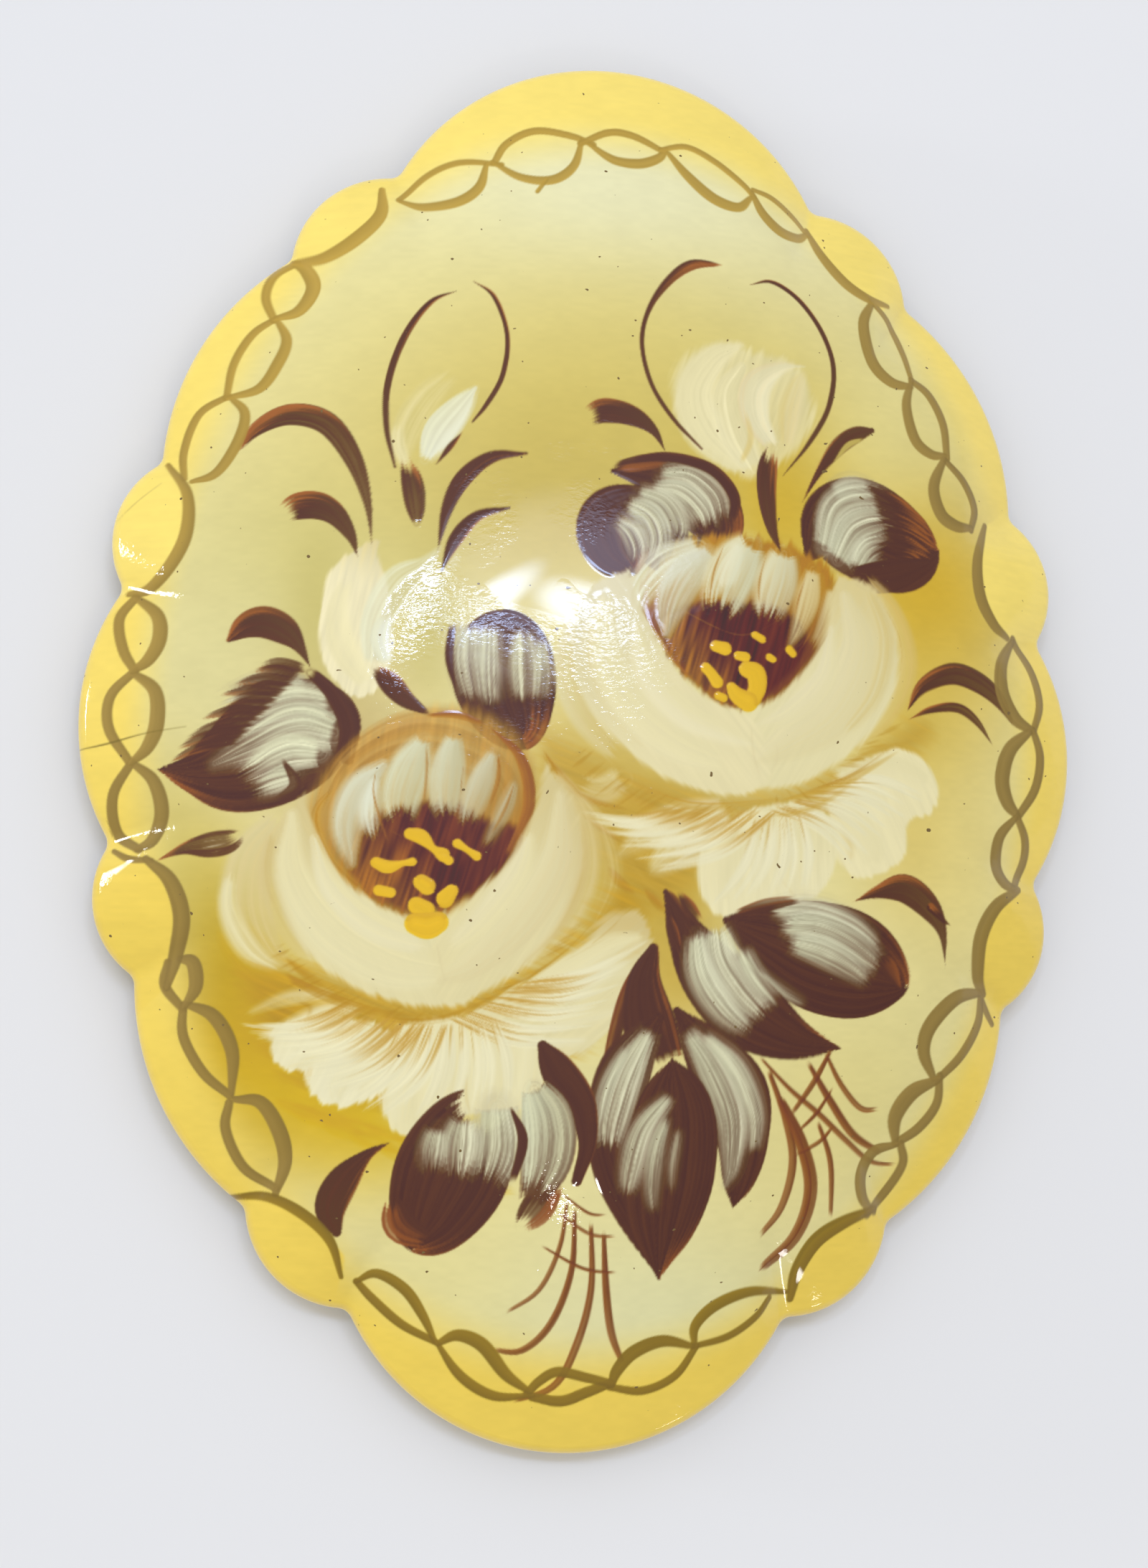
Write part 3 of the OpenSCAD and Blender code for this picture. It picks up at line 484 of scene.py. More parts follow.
    # the square leaf in the middle
    leaf(cv, [(-5.8, 3.9, 0.9), (-5.8, 3.2, 2.3), (-5.7, 2.0, 2.7), (-5.4, 0.7, 2.3), (-5.0, -0.3, 1.6),
        (-4.8, -0.8, 0.9)],
         [([(-7.4, 4.7, 0.5), (-7.4, 2.8, 0.85), (-7.0, 0.6, 0.6)], 0.8, 0.7, 0.6),
          ([(-6.5, 4.7, 0.4), (-6.5, 2.5, 0.6), (-6.3, 0.2, 0.4)], 0.8, 0.8, 0.7),
          ([(-4.9, 4.6, 0.4), (-4.7, 2.5, 0.75), (-4.6, 0.6, 0.5)], 0.9, 0.8, 0.7),
          ([(-3.9, 4.2, 0.3), (-3.8, 2.3, 0.5), (-3.9, 0.6, 0.4)], 0.8, 0.8, 0.8)], 81, fray=(0.0, 0.15))
    stroke(cv, [(-8.4, 4.6, 0.2), (-8.5, 2.8, 0.25), (-8.1, 1.0, 0.05)], BROWN, fray=(0.4, 0.3), seed=88)


def paint_buds(cv):
    # left bud
    stroke(cv, [(-11.2, 12.8, 0.4), (-11.0, 14.6, 1.0), (-10.0, 16.6, 1.0), (-8.4, 18.4, 0.5)],
        (206, 190, 118), CREAM, fray=(0.5, 1.5), dry=0.5, rough=0.5, soft=0.5, opacity=0.6, seed=101)
    stroke(cv, [(-10.1, 13.2, 0.4), (-9.4, 14.8, 1.0), (-8.4, 16.2, 0.8), (-7.6, 17.3, 0.25)],
        (226, 224, 196), MILK, fray=(0.3, 0.9), dry=0.15, rough=0.3, soft=0.25, opacity=0.95, seed=103)
    stroke(cv, [(-11.0, 12.8, 0.25), (-11.5, 14.2, 0.4), (-11.4, 15.6, 0.2)], CREAM, fray=(0.4, 1.2),
        dry=0.5, soft=0.3, opacity=0.7, seed=104)
    # right bud
    shape(cv, [(5.4, 14.0), (3.4, 15.6), (2.8, 18.0), (3.6, 19.9), (5.6, 20.9), (7.0, 20.6), (9.0, 20.4),
        (10.4, 19.2), (10.6, 17.2), (9.9, 15.6), (8.6, 14.4), (7.0, 13.4)],
          CREAM, soft=0.35, wobble=0.3, opacity=0.75, turn=70, seed=111)
    stroke(cv, [(6.6, 13.8, 0.6), (4.6, 15.6, 1.3), (3.9, 17.8, 1.2), (5.0, 19.9, 0.9), (6.6, 20.9, 0.3)],
        BUTTER, CREAM, fray=(0.4, 1.6), dry=0.25, rough=0.3, soft=0.35, opacity=0.9, seed=112)
    stroke(cv, [(7.2, 13.8, 0.7), (6.2, 15.8, 1.2), (5.8, 17.9, 1.0), (6.6, 19.6, 0.4)], CREAM, BUTTER,
        fray=(0.4, 1.4), dry=0.3, rough=0.3, soft=0.4, opacity=0.9, seed=113)
    stroke(cv, [(8.3, 15.2, 0.5), (7.3, 16.8, 0.95), (7.4, 18.6, 1.0), (8.8, 19.8, 0.5),
        (10.2, 20.1, 0.15)], (230, 220, 176), (224, 202, 150), blend=(-0.2, 1.0), fray=(0.5, 1.2), dry=0.3,
        rough=0.3, soft=0.3, opacity=0.9, seed=114)
    stroke(cv, [(9.0, 15.2, 0.4), (9.2, 17.2, 0.8), (9.7, 19.0, 0.6), (10.2, 19.8, 0.2)], (228, 210, 156),
        (214, 192, 120), fray=(0.6, 1.0), dry=0.5, rough=0.4, soft=0.4, opacity=0.8, seed=115)
    stroke(cv, [(6.5, 14.2, 0.15), (7.0, 15.6, 0.2), (6.6, 17.4, 0.1)], (212, 184, 104), fray=(0.3, 1.2),
        dry=0.6, soft=0.2, opacity=0.6, seed=116)
    # middle-left bud
    glow(cv, -15.2, 4.4, 1.8, 5.0, 0, (186, 172, 94), 0.5)
    glow(cv, -9.4, 4.6, 1.6, 3.6, 0, (178, 164, 84), 0.5)
    shape(cv, [(-15.0, 5.6), (-14.9, 2.8), (-13.4, 0.7), (-12.0, 1.2), (-11.4, 3.0), (-11.6, 5.6),
        (-12.2, 8.0), (-12.2, 8.9), (-13.4, 8.4), (-14.6, 7.2)], (230, 218, 172),
          soft=0.12, other=(212, 194, 134), slope=(-13.4, 6.4, -12.0, 9.6), wobble=0.15, opacity=1.0,
          turn=80, seed=121)
    stroke(cv, [(-12.4, 2.4, 0.6), (-12.2, 4.6, 1.0), (-11.2, 6.6, 1.1), (-10.0, 7.6, 0.6),
        (-9.2, 8.6, 0.2)], (214, 206, 164), MILK, fray=(0.3, 1.2), dry=0.4, rough=0.35, soft=0.3,
        opacity=0.85, seed=122)
    stroke(cv, [(-12.6, 1.4, 0.6), (-13.8, 3.2, 0.9), (-14.2, 5.2, 0.7), (-13.6, 7.2, 0.4)], BUTTER, CREAM,
        fray=(0.3, 1.2), dry=0.3, rough=0.3, soft=0.35, opacity=0.8, seed=123)
    stroke(cv, [(-11.6, 2.4, 0.35), (-12.0, 3.8, 0.6), (-11.6, 5.2, 0.3)], (232, 232, 214), MILK,
        fray=(0.3, 0.9), dry=0.2, rough=0.2, soft=0.25, opacity=0.95, seed=124)


def bowl_hairs(cv, strokes, seed):
    for k, (points, colour, other, land, leave, dry, opacity) in enumerate(strokes):
        stroke(cv, points, colour, other, blend=(-0.8, 0.8), fray=(land, leave), dry=dry, rough=0.3,
            soft=0.5, opacity=opacity, streaks=0.06, bristles=7, seed=seed + 7 * k)


def stamens(cv, dabs, seed):
    strokes(cv, dabs, (226, 180, 4), (206, 160, 10), seed, blend=(0.2, 1.3), spread=0.7, soft=0.06,
        rough=0.1,
            lift=2.4, streaks=0.08, bristles=5)


def shadow_hairs(cv, edge, seed):
    """Dry ochre hairs dragged out from under a bowl. edge: where each starts and which way it leaves."""
    for j in range(len(edge) - 1):
        for k in range(7):
            x, y, dx, dy = (a + (b - a) * k / 7 for a, b in zip(edge[j], edge[j + 1]))
            reach_out = 0.75 + 0.3 * math.sin(j * 3.1 + k * 2.3)
            stroke(cv, [(x - 0.4 * dx, y - 0.4 * dy, 0.1), (x + 0.5 * dx, y + 0.5 * dy, 0.24),
                (x + dx * reach_out * 1.5, y + dy * reach_out * 1.5, 0.06)], (178, 130, 34),
                (208, 176, 104),
                   blend=(-0.1, 1.2), along=(1.6, 0.6), fray=(0.4, 1.4), dry=0.6, rough=0.4, soft=0.25,
                   opacity=0.75, bristles=8, seed=seed + 7 * j + k)


def fan(cv, root_a, root_b, tip_a, tip_b, count, bend, seed, ochre=0.35):
    """Petal strokes pulled out from under the bowl, ochre at the root and cream at the tip."""
    for k in range(count):
        t = (k + 0.3 * math.sin(k * 2.4 + seed)) / (count - 1)
        ax, ay = (a + (b - a) * t for a, b in zip(root_a, root_b))
        bx, by = (a + (b - a) * t for a, b in zip(tip_a, tip_b))
        reach_out = 1 + 0.07 * math.sin(k * 3.7 + seed)
        bx, by = ax + (bx - ax) * reach_out, ay + (by - ay) * reach_out
        mx, my = (ax + bx) / 2 - bend * (by - ay), (ay + by) / 2 + bend * (bx - ax)
        stroke(cv, [(ax, ay, 0.16), (mx, my, 0.36), (bx, by, 0.16)], (194, 150, 62), (230, 221, 178),
            blend=(-0.6, 0.8), spread=0.6,
               along=(3.4, ochre), fray=(0.5, 0.8), dry=0.3, rough=0.3, soft=0.15, opacity=0.9, bristles=9,
               streaks=0.1, seed=seed + k)


def paint_rose_right(cv):
    # warm shadow under the skirt, then the skirt petals, from the back
    shape(cv, [(-3.6, -0.8), (0.0, -2.4), (6.0, -3.4), (12.0, -1.6), (16.6, 1.2), (17.2, 0.0), (12.0, -4.4),
        (6.0, -6.4), (2.6, -9.4), (-0.6, -6.6), (-3.2, -3.6)],
          (188, 150, 56), soft=0.9, wobble=0.5, opacity=0.7, grain=0.1, turn=-20, lift=0.2, seed=200)
    bowl_hairs(cv, [
        ([(0.6, -3.0, 0.8), (-0.6, -3.6, 0.9), (-2.0, -3.2, 0.5)], CREAM, SHADE, 0.4, 1.2, 0.6, 0.7),
        ([(6.0, -4.4, 0.9), (3.6, -5.0, 1.2), (1.8, -5.8, 0.9), (0.6, -6.8, 0.3)], (220, 207, 160), SHADE,
        0.5, 1.8, 0.6, 0.85),
        ([(6.4, -4.6, 0.8), (4.4, -5.8, 1.2), (2.8, -7.0, 0.8), (2.2, -7.6, 0.2)], CREAM, (216, 202, 156),
        0.5, 1.2, 0.4, 0.9),
    ], 201)
    shape(cv, [(13.0, -1.4), (15.4, -0.4), (17.3, -0.9), (18.1, -2.2), (17.7, -3.6), (16.4, -4.2),
        (16.2, -5.8), (15.2, -6.8), (13.4, -7.3), (12.2, -6.4), (11.6, -4.6), (11.8, -2.6)],
          BUTTER, soft=0.16, other=(222, 206, 148), slope=(14.5, -3.0, 12.0, -1.6), wobble=0.15,
          opacity=0.97, grain=0.025, turn=120, seed=211)
    bowl_hairs(cv, [
        ([(11.4, -2.4, 0.5), (13.4, -1.9, 0.9), (15.6, -1.6, 1.0), (17.4, -2.2, 0.7)], BUTTER, CREAM, 1.2,
        0.3, 0.3, 0.85),
        ([(11.0, -2.8, 0.4), (12.6, -4.0, 0.9), (13.9, -5.6, 1.0), (14.2, -6.6, 0.6)], (230, 218, 166),
        CREAM, 1.2, 0.3, 0.3, 0.85),
        ([(10.9, -3.0, 0.4), (13.0, -3.0, 0.8), (15.2, -3.8, 0.9)], (234, 224, 178), CREAM, 1.2, 0.8, 0.5,
        0.7),
        ([(12.2, -4.6, 0.15), (12.9, -5.6, 0.3), (13.0, -6.8, 0.12)], (206, 180, 110), None, 0.4, 0.6, 0.5,
        0.6),
    ], 221)
    shape(cv, [(7.6, -4.0), (10.4, -3.6), (11.8, -4.6), (12.1, -6.4), (11.3, -8.2), (9.6, -8.9),
        (8.4, -9.0), (7.2, -9.7), (5.9, -9.7), (4.8, -8.6), (4.6, -6.8), (5.6, -5.2)],
          CREAM, soft=0.14, other=(230, 219, 170), slope=(8.0, -5.0, 8.4, -9.0), wobble=0.12, opacity=0.98,
          grain=0.025, turn=95, seed=231)
    bowl_hairs(cv, [
        ([(8.6, -4.2, 0.5), (6.8, -5.4, 0.9), (5.6, -7.2, 0.9), (5.7, -9.0, 0.6)], BUTTER, CREAM, 0.8, 0.3,
        0.3, 0.85),
        ([(9.6, -4.0, 0.5), (9.4, -5.8, 1.1), (9.6, -7.4, 1.0), (9.8, -8.5, 0.6)], (230, 219, 172), CREAM,
        0.9, 0.3, 0.3, 0.85),
        ([(6.9, -5.0, 0.12), (6.1, -6.0, 0.25), (5.0, -6.6, 0.12)], (200, 176, 112), None, 0.3, 0.9, 0.7,
        0.6),
        ([(10.2, -8.8, 0.1), (9.0, -7.4, 0.16), (8.8, -6.0, 0.08)], (206, 184, 122), None, 0.3, 1.0, 0.7,
        0.5),
    ], 241)
    fan(cv, (8.2, -4.1), (11.6, -2.4), (13.2, -6.9), (17.6, -2.7), 11, 0.1, 2300, 0.16)
    fan(cv, (7.6, -4.4), (10.0, -3.9), (5.2, -9.2), (10.6, -8.6), 10, 0.1, 2320, 0.02)
    fan(cv, (9.0, -4.0), (3.6, -4.2), (2.4, -7.6), (-1.9, -4.7), 13, 0.1, 2340, 0.3)
    # ochre shadow under the bowl
    for k, (a, b, c, w) in enumerate([((-0.4, -2.4), (4.2, -4.1), (10.4, -3.2), 0.42),
        ((8.0, -3.9), (12.4, -2.4), (16.4, 0.0), 0.4), ((7.6, -4.6), (10.8, -3.8), (14.0, -1.6), 0.25),
                                      ((-0.8, -3.0), (2.4, -4.4), (6.4, -4.5), 0.3),
                                      ((11.8, -1.9), (14.4, -0.5), (17.4, 0.2), 0.26)]):
        stroke(cv, [(a[0], a[1], 0.1), (b[0], b[1], w), (c[0], c[1], 0.1)], (198, 158, 62), DEEP,
            blend=(-0.2, 1.4), fray=(1.5, 1.8), dry=0.6, rough=0.35, soft=0.25, opacity=0.85, seed=251 + k)
    shadow_hairs(cv, [(-1.6, -1.6, -1.0, -0.9), (0.6, -3.2, -1.2, -1.0), (3.4, -4.2, -1.5, -0.9),
        (7.0, -4.3, -1.3, -0.9), (9.4, -3.2, 0.8, -0.9), (12.8, -1.2, 1.5, 0.2), (15.2, 1.0, 1.3, 0.9)],
        2100)
    # back of the bowl
    shape(cv, [(1.2, 7.2), (3.2, 9.4), (6.4, 10.2), (10.0, 9.6), (12.0, 8.0), (11.6, 5.0), (9.4, 2.4),
        (6.6, 1.0), (3.6, 2.6), (1.6, 5.0)], (176, 122, 34), soft=0.3, wobble=0.4,
          other=(120, 66, 18), slope=(6.4, 8.0, 6.4, 4.0), turn=80, seed=261)
    shape(cv, [(2.0, 5.4), (3.8, 6.2), (5.4, 6.6), (7.8, 6.6), (9.6, 6.0), (10.2, 4.6), (8.8, 2.6),
        (6.6, 1.2), (4.4, 2.0), (2.6, 4.0)], (92, 44, 14), soft=0.25, wobble=0.3,
          other=(150, 98, 24), slope=(6.4, 4.4, 3.4, 2.2), turn=75, grain=0.3, seed=262)
    brush_hollow(cv, [(2.2, 3.6), (4.0, 2.2), (6.6, 1.5), (8.8, 2.6), (10.2, 4.4)], -0.06, 0.8, 271)
    bowl_hairs(cv, [
        ([(4.2, 9.3, 0.8), (2.4, 8.3, 1.1), (1.2, 6.8, 0.9), (0.9, 5.2, 0.3)], (214, 208, 172), MILK, 0.2,
        1.3, 0.4, 0.97),
        ([(4.8, 9.2, 0.5), (3.6, 7.9, 1.15), (2.8, 6.2, 1.0), (2.6, 4.7, 0.4)], (216, 212, 182),
        (204, 198, 160), 0.2, 1.6, 0.4, 0.97),
        ([(7.0, 9.7, 0.9), (6.2, 8.5, 1.5), (5.6, 7.0, 1.4), (5.3, 5.7, 0.8)], (224, 217, 174),
        (203, 198, 158), 0.3, 1.5, 0.35, 0.98),
        ([(6.4, 9.8, 0.4), (5.9, 8.2, 0.7), (5.5, 6.6, 0.5)], (230, 223, 184), MILK, 0.3, 1.3, 0.4, 0.9),
        ([(8.8, 9.4, 0.8), (8.5, 8.0, 1.25), (8.1, 6.6, 1.1), (7.8, 5.5, 0.6)], (222, 215, 172),
        (205, 197, 156), 0.3, 1.3, 0.35, 0.98),
        ([(10.5, 8.7, 0.5), (10.2, 7.1, 0.85), (9.7, 5.5, 0.6), (9.1, 4.3, 0.2)], (222, 208, 156), SHADE,
        0.3, 1.3, 0.45, 0.95),
        ([(11.6, 7.8, 0.4), (11.2, 6.0, 0.55), (10.3, 4.2, 0.25)], CREAM, SHADE, 0.3, 1.0, 0.4, 0.9),
    ], 281)
    strokes(cv, [[(5.6, 9.7, 0.08), (5.0, 8.0, 0.14), (4.8, 6.2, 0.08)],
        [(7.9, 9.4, 0.06), (7.5, 7.8, 0.14), (7.5, 6.4, 0.1)],
        [(10.3, 8.9, 0.08), (9.7, 7.2, 0.16), (9.3, 5.4, 0.12)],
                 [(11.0, 7.4, 0.06), (10.5, 5.6, 0.16), (9.6, 4.0, 0.1)],
                 [(1.4, 7.3, 0.08), (1.7, 5.4, 0.16), (3.0, 3.3, 0.2), (5.0, 1.6, 0.08)]],
            (186, 132, 50), (150, 92, 28), 301, fray=(0.4, 0.6), dry=0.4, rough=0.15, opacity=0.85)
    # front of the bowl: outer rim on each side, then two broad strokes that meet at the notch
    bowl_hairs(cv, [
        ([(13.4, 8.6, 0.5), (15.0, 6.8, 0.9), (15.9, 4.2, 0.9), (15.0, 1.6, 0.7), (13.2, -0.4, 0.3)],
        (222, 203, 142), (212, 184, 108), 0.6, 1.4, 0.5, 0.8),
        ([(-2.2, 5.4, 0.4), (-2.6, 2.6, 0.8), (-1.6, 0.0, 0.8), (0.6, -2.2, 0.5)], (218, 206, 158), SHADE,
        0.8, 1.4, 0.5, 0.8),
    ], 311)
    shape(cv, [(11.9, 8.6), (14.0, 8.0), (15.4, 5.6), (15.2, 2.6), (13.4, -0.2), (10.8, -2.2), (8.5, -3.0),
        (7.0, -2.6), (6.8, 0.4), (8.3, 1.6), (9.9, 3.2), (11.2, 5.4), (11.5, 7.2)],
          CREAM, soft=0.2, other=(216, 198, 138), slope=(12.4, 3.0, 14.2, 8.4), wobble=0.15, grain=0.02,
          opacity=0.97, turn=60, seed=321)
    shape(cv, [(0.6, 8.0), (-1.6, 6.6), (-2.2, 3.6), (-1.4, 0.8), (0.8, -1.6), (3.6, -3.1), (6.6, -3.5),
        (8.2, -2.4), (8.0, -0.8), (6.9, 0.7), (5.2, 1.3), (3.4, 2.6), (2.0, 4.6), (1.0, 6.6)],
          (226, 213, 162), soft=0.18, other=(214, 202, 156), slope=(3.0, 1.0, -1.4, 6.4), wobble=0.15,
          grain=0.02, opacity=0.98, turn=-50, seed=322)
    bowl_hairs(cv, [
        ([(12.4, 7.4, 0.5), (13.2, 4.6, 1.3), (11.8, 1.4, 1.6), (9.2, -0.6, 1.1), (7.6, -1.6, 0.3)],
        (226, 213, 164), (218, 204, 150), 0.9, 0.8, 0.35, 0.8),
        ([(11.6, 5.6, 0.3), (11.2, 3.0, 0.8), (9.4, 1.0, 0.8), (7.6, 0.2, 0.2)], (230, 218, 174), CREAM,
        0.9, 0.8, 0.4, 0.8),
        ([(13.6, 8.0, 0.4), (14.6, 5.4, 0.7), (14.0, 2.4, 0.7), (12.2, 0.0, 0.4)], (222, 205, 146),
        (208, 184, 112), 0.6, 1.2, 0.6, 0.6),
        ([(-0.6, 6.6, 0.5), (-0.8, 3.6, 1.1), (0.6, 1.0, 1.2), (3.2, -1.0, 1.1), (6.0, -2.0, 0.6)],
        (228, 216, 166), CREAM, 0.8, 0.9, 0.3, 0.8),
        ([(1.0, 5.0, 0.3), (1.6, 2.6, 0.8), (3.6, 0.6, 0.9), (6.0, -0.4, 0.6), (7.4, -0.8, 0.2)],
        (232, 221, 178), CREAM, 0.9, 0.8, 0.35, 0.85),
        ([(-1.4, 5.6, 0.3), (-1.6, 2.8, 0.5), (-0.4, 0.2, 0.5), (2.0, -1.8, 0.3)], (216, 202, 150), SHADE,
        0.8, 1.2, 0.6, 0.55),
        ([(7.2, 0.2, 0.05), (7.4, -1.4, 0.12), (7.9, -2.8, 0.05)], (206, 186, 136), None, 0.3, 0.6, 0.4,
        0.6),
        ([(8.3, -2.6, 0.05), (8.7, -1.2, 0.14), (8.4, -0.4, 0.05)], (212, 192, 142), None, 0.3, 0.6, 0.4,
        0.5),
    ], 331)
    # stamens
    stamens(cv, [[(5.2, 4.2, 0.36), (5.7, 4.1, 0.42)], [(6.4, 3.75, 0.3), (6.8, 3.7, 0.34)],
        [(7.3, 4.95, 0.26), (7.7, 4.75, 0.28)], [(8.1, 3.8, 0.26), (8.3, 3.7, 0.24)],
        [(9.2, 4.3, 0.28), (9.4, 4.1, 0.26)],
                 [(4.7, 3.0, 0.36), (5.0, 2.7, 0.36), (5.3, 2.3, 0.4)],
                 [(5.4, 1.6, 0.26), (5.7, 1.5, 0.26)], [(6.9, 3.1, 0.5), (7.4, 2.9, 0.6), (7.5, 2.2, 0.56),
                 (7.3, 1.6, 0.5)], [(6.1, 2.1, 0.34), (6.4, 1.7, 0.5), (7.0, 1.4, 0.6)]], 351)


def paint_rose_left(cv):
    # outer petals at the left and right
    bowl_hairs(cv, [
        ([(-16.4, -5.4, 0.6), (-17.9, -7.6, 1.3), (-18.0, -10.2, 1.4), (-17.0, -12.2, 1.0),
        (-15.6, -13.2, 0.3)], (212, 196, 142), SHADE, 0.9, 0.6, 0.4, 0.85),
        ([(-18.9, -8.2, 0.3), (-19.0, -10.2, 0.6), (-17.9, -12.2, 0.7), (-16.2, -13.3, 0.3)],
        (224, 214, 168), CREAM, 0.8, 0.5, 0.4, 0.9),
        ([(-3.2, -2.6, 0.4), (-1.7, -4.8, 0.8), (-1.2, -7.8, 0.9), (-2.4, -10.8, 0.8), (-4.8, -13.2, 0.3)],
        (214, 198, 146), SHADE, 0.8, 1.4, 0.5, 0.8),
        ([(-2.0, -3.6, 0.2), (-0.6, -5.2, 0.5), (0.2, -8.0, 0.6), (-0.8, -10.8, 0.4)], (206, 184, 122),
        CREAM, 1.0, 1.6, 0.7, 0.5),
    ], 401)
    # warm shadow under the skirt, then the skirt petals
    shape(cv, [(-18.2, -13.4), (-14.0, -13.2), (-8.0, -14.0), (-2.0, -11.6), (0.6, -8.4), (1.8, -10.0),
        (0.4, -14.6), (-4.0, -18.6), (-10.6, -19.8), (-15.8, -18.0)],
          (186, 142, 38), soft=0.9, wobble=0.6, opacity=0.8, grain=0.12, turn=-20, lift=0.2, seed=408)
    shape(cv, [(-7.0, -15.2), (-4.6, -13.8), (-1.8, -11.9), (0.2, -10.0), (1.8, -9.8), (2.4, -11.4),
        (1.4, -13.6), (0.9, -15.2), (-0.2, -16.5), (-1.4, -17.1), (-3.0, -16.6), (-5.4, -16.2)],
        (222, 210, 158), soft=0.2, wobble=0.3,
          grain=0.025, opacity=0.97, other=(206, 184, 122), slope=(0.0, -13.0, 0.6, -9.6), turn=40,
          seed=411)
    shape(cv, [(-10.2, -15.8), (-7.4, -15.3), (-4.8, -15.6), (-3.0, -15.9), (-2.7, -17.6), (-3.1, -19.2),
        (-4.4, -20.1), (-6.2, -20.2), (-7.8, -20.8), (-9.4, -21.4), (-10.5, -20.6), (-10.9, -19.0),
        (-10.7, -17.2)], (227, 216, 166), soft=0.14,
          wobble=0.14, grain=0.02, opacity=0.99, turn=95, seed=412)
    shape(cv, [(-11.2, -15.8), (-14.0, -15.4), (-16.2, -16.2), (-16.4, -17.7), (-15.4, -18.3),
        (-14.7, -18.5), (-14.2, -19.6), (-12.8, -20.1), (-11.4, -19.6), (-10.3, -18.6), (-9.8, -17.0)],
        (224, 214, 166), soft=0.16, wobble=0.22,
          grain=0.025, other=(232, 224, 184), slope=(-12.6, -16.0, -13.6, -19.6), opacity=0.97, turn=65,
          seed=414)
    bowl_hairs(cv, [
        ([(-11.8, -15.0, 0.25), (-13.8, -15.3, 0.6), (-15.9, -16.3, 0.55), (-17.4, -16.9, 0.15)],
        (228, 219, 178), CREAM, 1.0, 0.9, 0.5, 0.9),
        ([(-11.6, -15.8, 0.3), (-13.2, -16.6, 0.7), (-14.9, -17.7, 0.6), (-15.9, -18.2, 0.25)],
        (230, 222, 182), CREAM, 1.0, 0.5, 0.4, 0.9),
        ([(-11.2, -16.0, 0.3), (-12.3, -17.3, 0.8), (-13.3, -18.9, 0.8), (-13.2, -19.8, 0.4)],
        (230, 222, 182), CREAM, 1.0, 0.3, 0.35, 0.92),
        ([(-10.8, -16.2, 0.3), (-11.4, -17.6, 0.6), (-11.9, -19.4, 0.5)], (224, 213, 166), CREAM, 0.9, 0.5,
        0.4, 0.85),
        ([(-13.2, -14.4, 0.3), (-15.5, -14.6, 0.5), (-17.3, -15.3, 0.3), (-18.1, -15.9, 0.1)],
        (220, 206, 156), CREAM, 0.8, 1.0, 0.6, 0.9),
        ([(-10.0, -15.8, 0.3), (-9.8, -17.6, 0.8), (-9.8, -19.6, 0.8), (-9.8, -20.8, 0.5)], (230, 221, 176),
        CREAM, 0.9, 0.3, 0.3, 0.9),
        ([(-7.6, -15.6, 0.3), (-7.8, -17.4, 0.9), (-7.9, -19.2, 0.9), (-8.0, -20.4, 0.5)], (227, 217, 168),
        CREAM, 0.9, 0.3, 0.3, 0.85),
        ([(-5.8, -15.4, 0.3), (-5.4, -17.0, 0.9), (-5.4, -18.6, 0.9), (-5.6, -19.8, 0.4)], (229, 219, 171),
        CREAM, 0.9, 0.3, 0.3, 0.85),
        ([(-4.0, -15.4, 0.3), (-3.5, -16.8, 0.6), (-3.6, -18.6, 0.7), (-4.3, -19.7, 0.4)], (231, 221, 174),
        CREAM, 0.8, 0.3, 0.3, 0.85),
        ([(-10.5, -18.8, 0.03), (-10.8, -19.6, 0.12), (-11.0, -20.4, 0.05)], (196, 158, 66), None, 0.4, 0.4,
        0.3, 0.85),
        ([(-6.6, -18.0, 0.05), (-6.6, -19.2, 0.14), (-6.3, -20.2, 0.08)], (206, 178, 106), None, 0.4, 0.3,
        0.3, 0.8),
        ([(-14.3, -17.8, 0.06), (-14.6, -18.8, 0.16), (-14.9, -19.2, 0.06)], (200, 164, 80), None, 0.4, 0.3,
        0.3, 0.8),
        ([(-4.6, -14.2, 0.3), (-2.2, -12.9, 0.7), (0.2, -11.4, 0.7), (2.0, -10.9, 0.35)], (228, 218, 170),
        CREAM, 1.0, 0.5, 0.35, 0.9),
        ([(-4.0, -14.8, 0.3), (-1.8, -13.9, 0.7), (0.2, -12.8, 0.6), (1.6, -12.6, 0.3)], (226, 216, 168),
        CREAM, 0.9, 0.4, 0.35, 0.9),
        ([(-3.4, -15.6, 0.3), (-1.6, -15.2, 0.6), (-0.2, -14.9, 0.5), (0.9, -14.6, 0.25)], (230, 220, 174),
        CREAM, 0.8, 0.3, 0.35, 0.9),
        ([(-2.8, -16.2, 0.2), (-1.6, -16.3, 0.45), (-0.6, -16.1, 0.3)], (230, 220, 174), CREAM, 0.5, 0.3,
        0.3, 0.9),
        ([(0.4, -12.0, 0.05), (1.3, -11.7, 0.12), (2.2, -11.9, 0.05)], (204, 176, 104), None, 0.4, 0.3, 0.3,
        0.7),
    ], 421)
    fan(cv, (-7.8, -15.3), (-4.2, -13.5), (-1.0, -16.6), (2.1, -11.0), 14, -0.08, 2360, 0.26)
    fan(cv, (-8.4, -15.5), (-5.4, -15.2), (-9.9, -20.7), (-4.2, -19.8), 11, 0.08, 2380, 0.02)
    fan(cv, (-9.8, -15.4), (-7.6, -15.5), (-13.2, -19.8), (-10.8, -20.5), 8, 0.12, 2400, 0.18)
    fan(cv, (-12.6, -14.6), (-8.6, -15.5), (-18.2, -15.9), (-13.8, -19.4), 16, 0.12, 2420, 0.3)
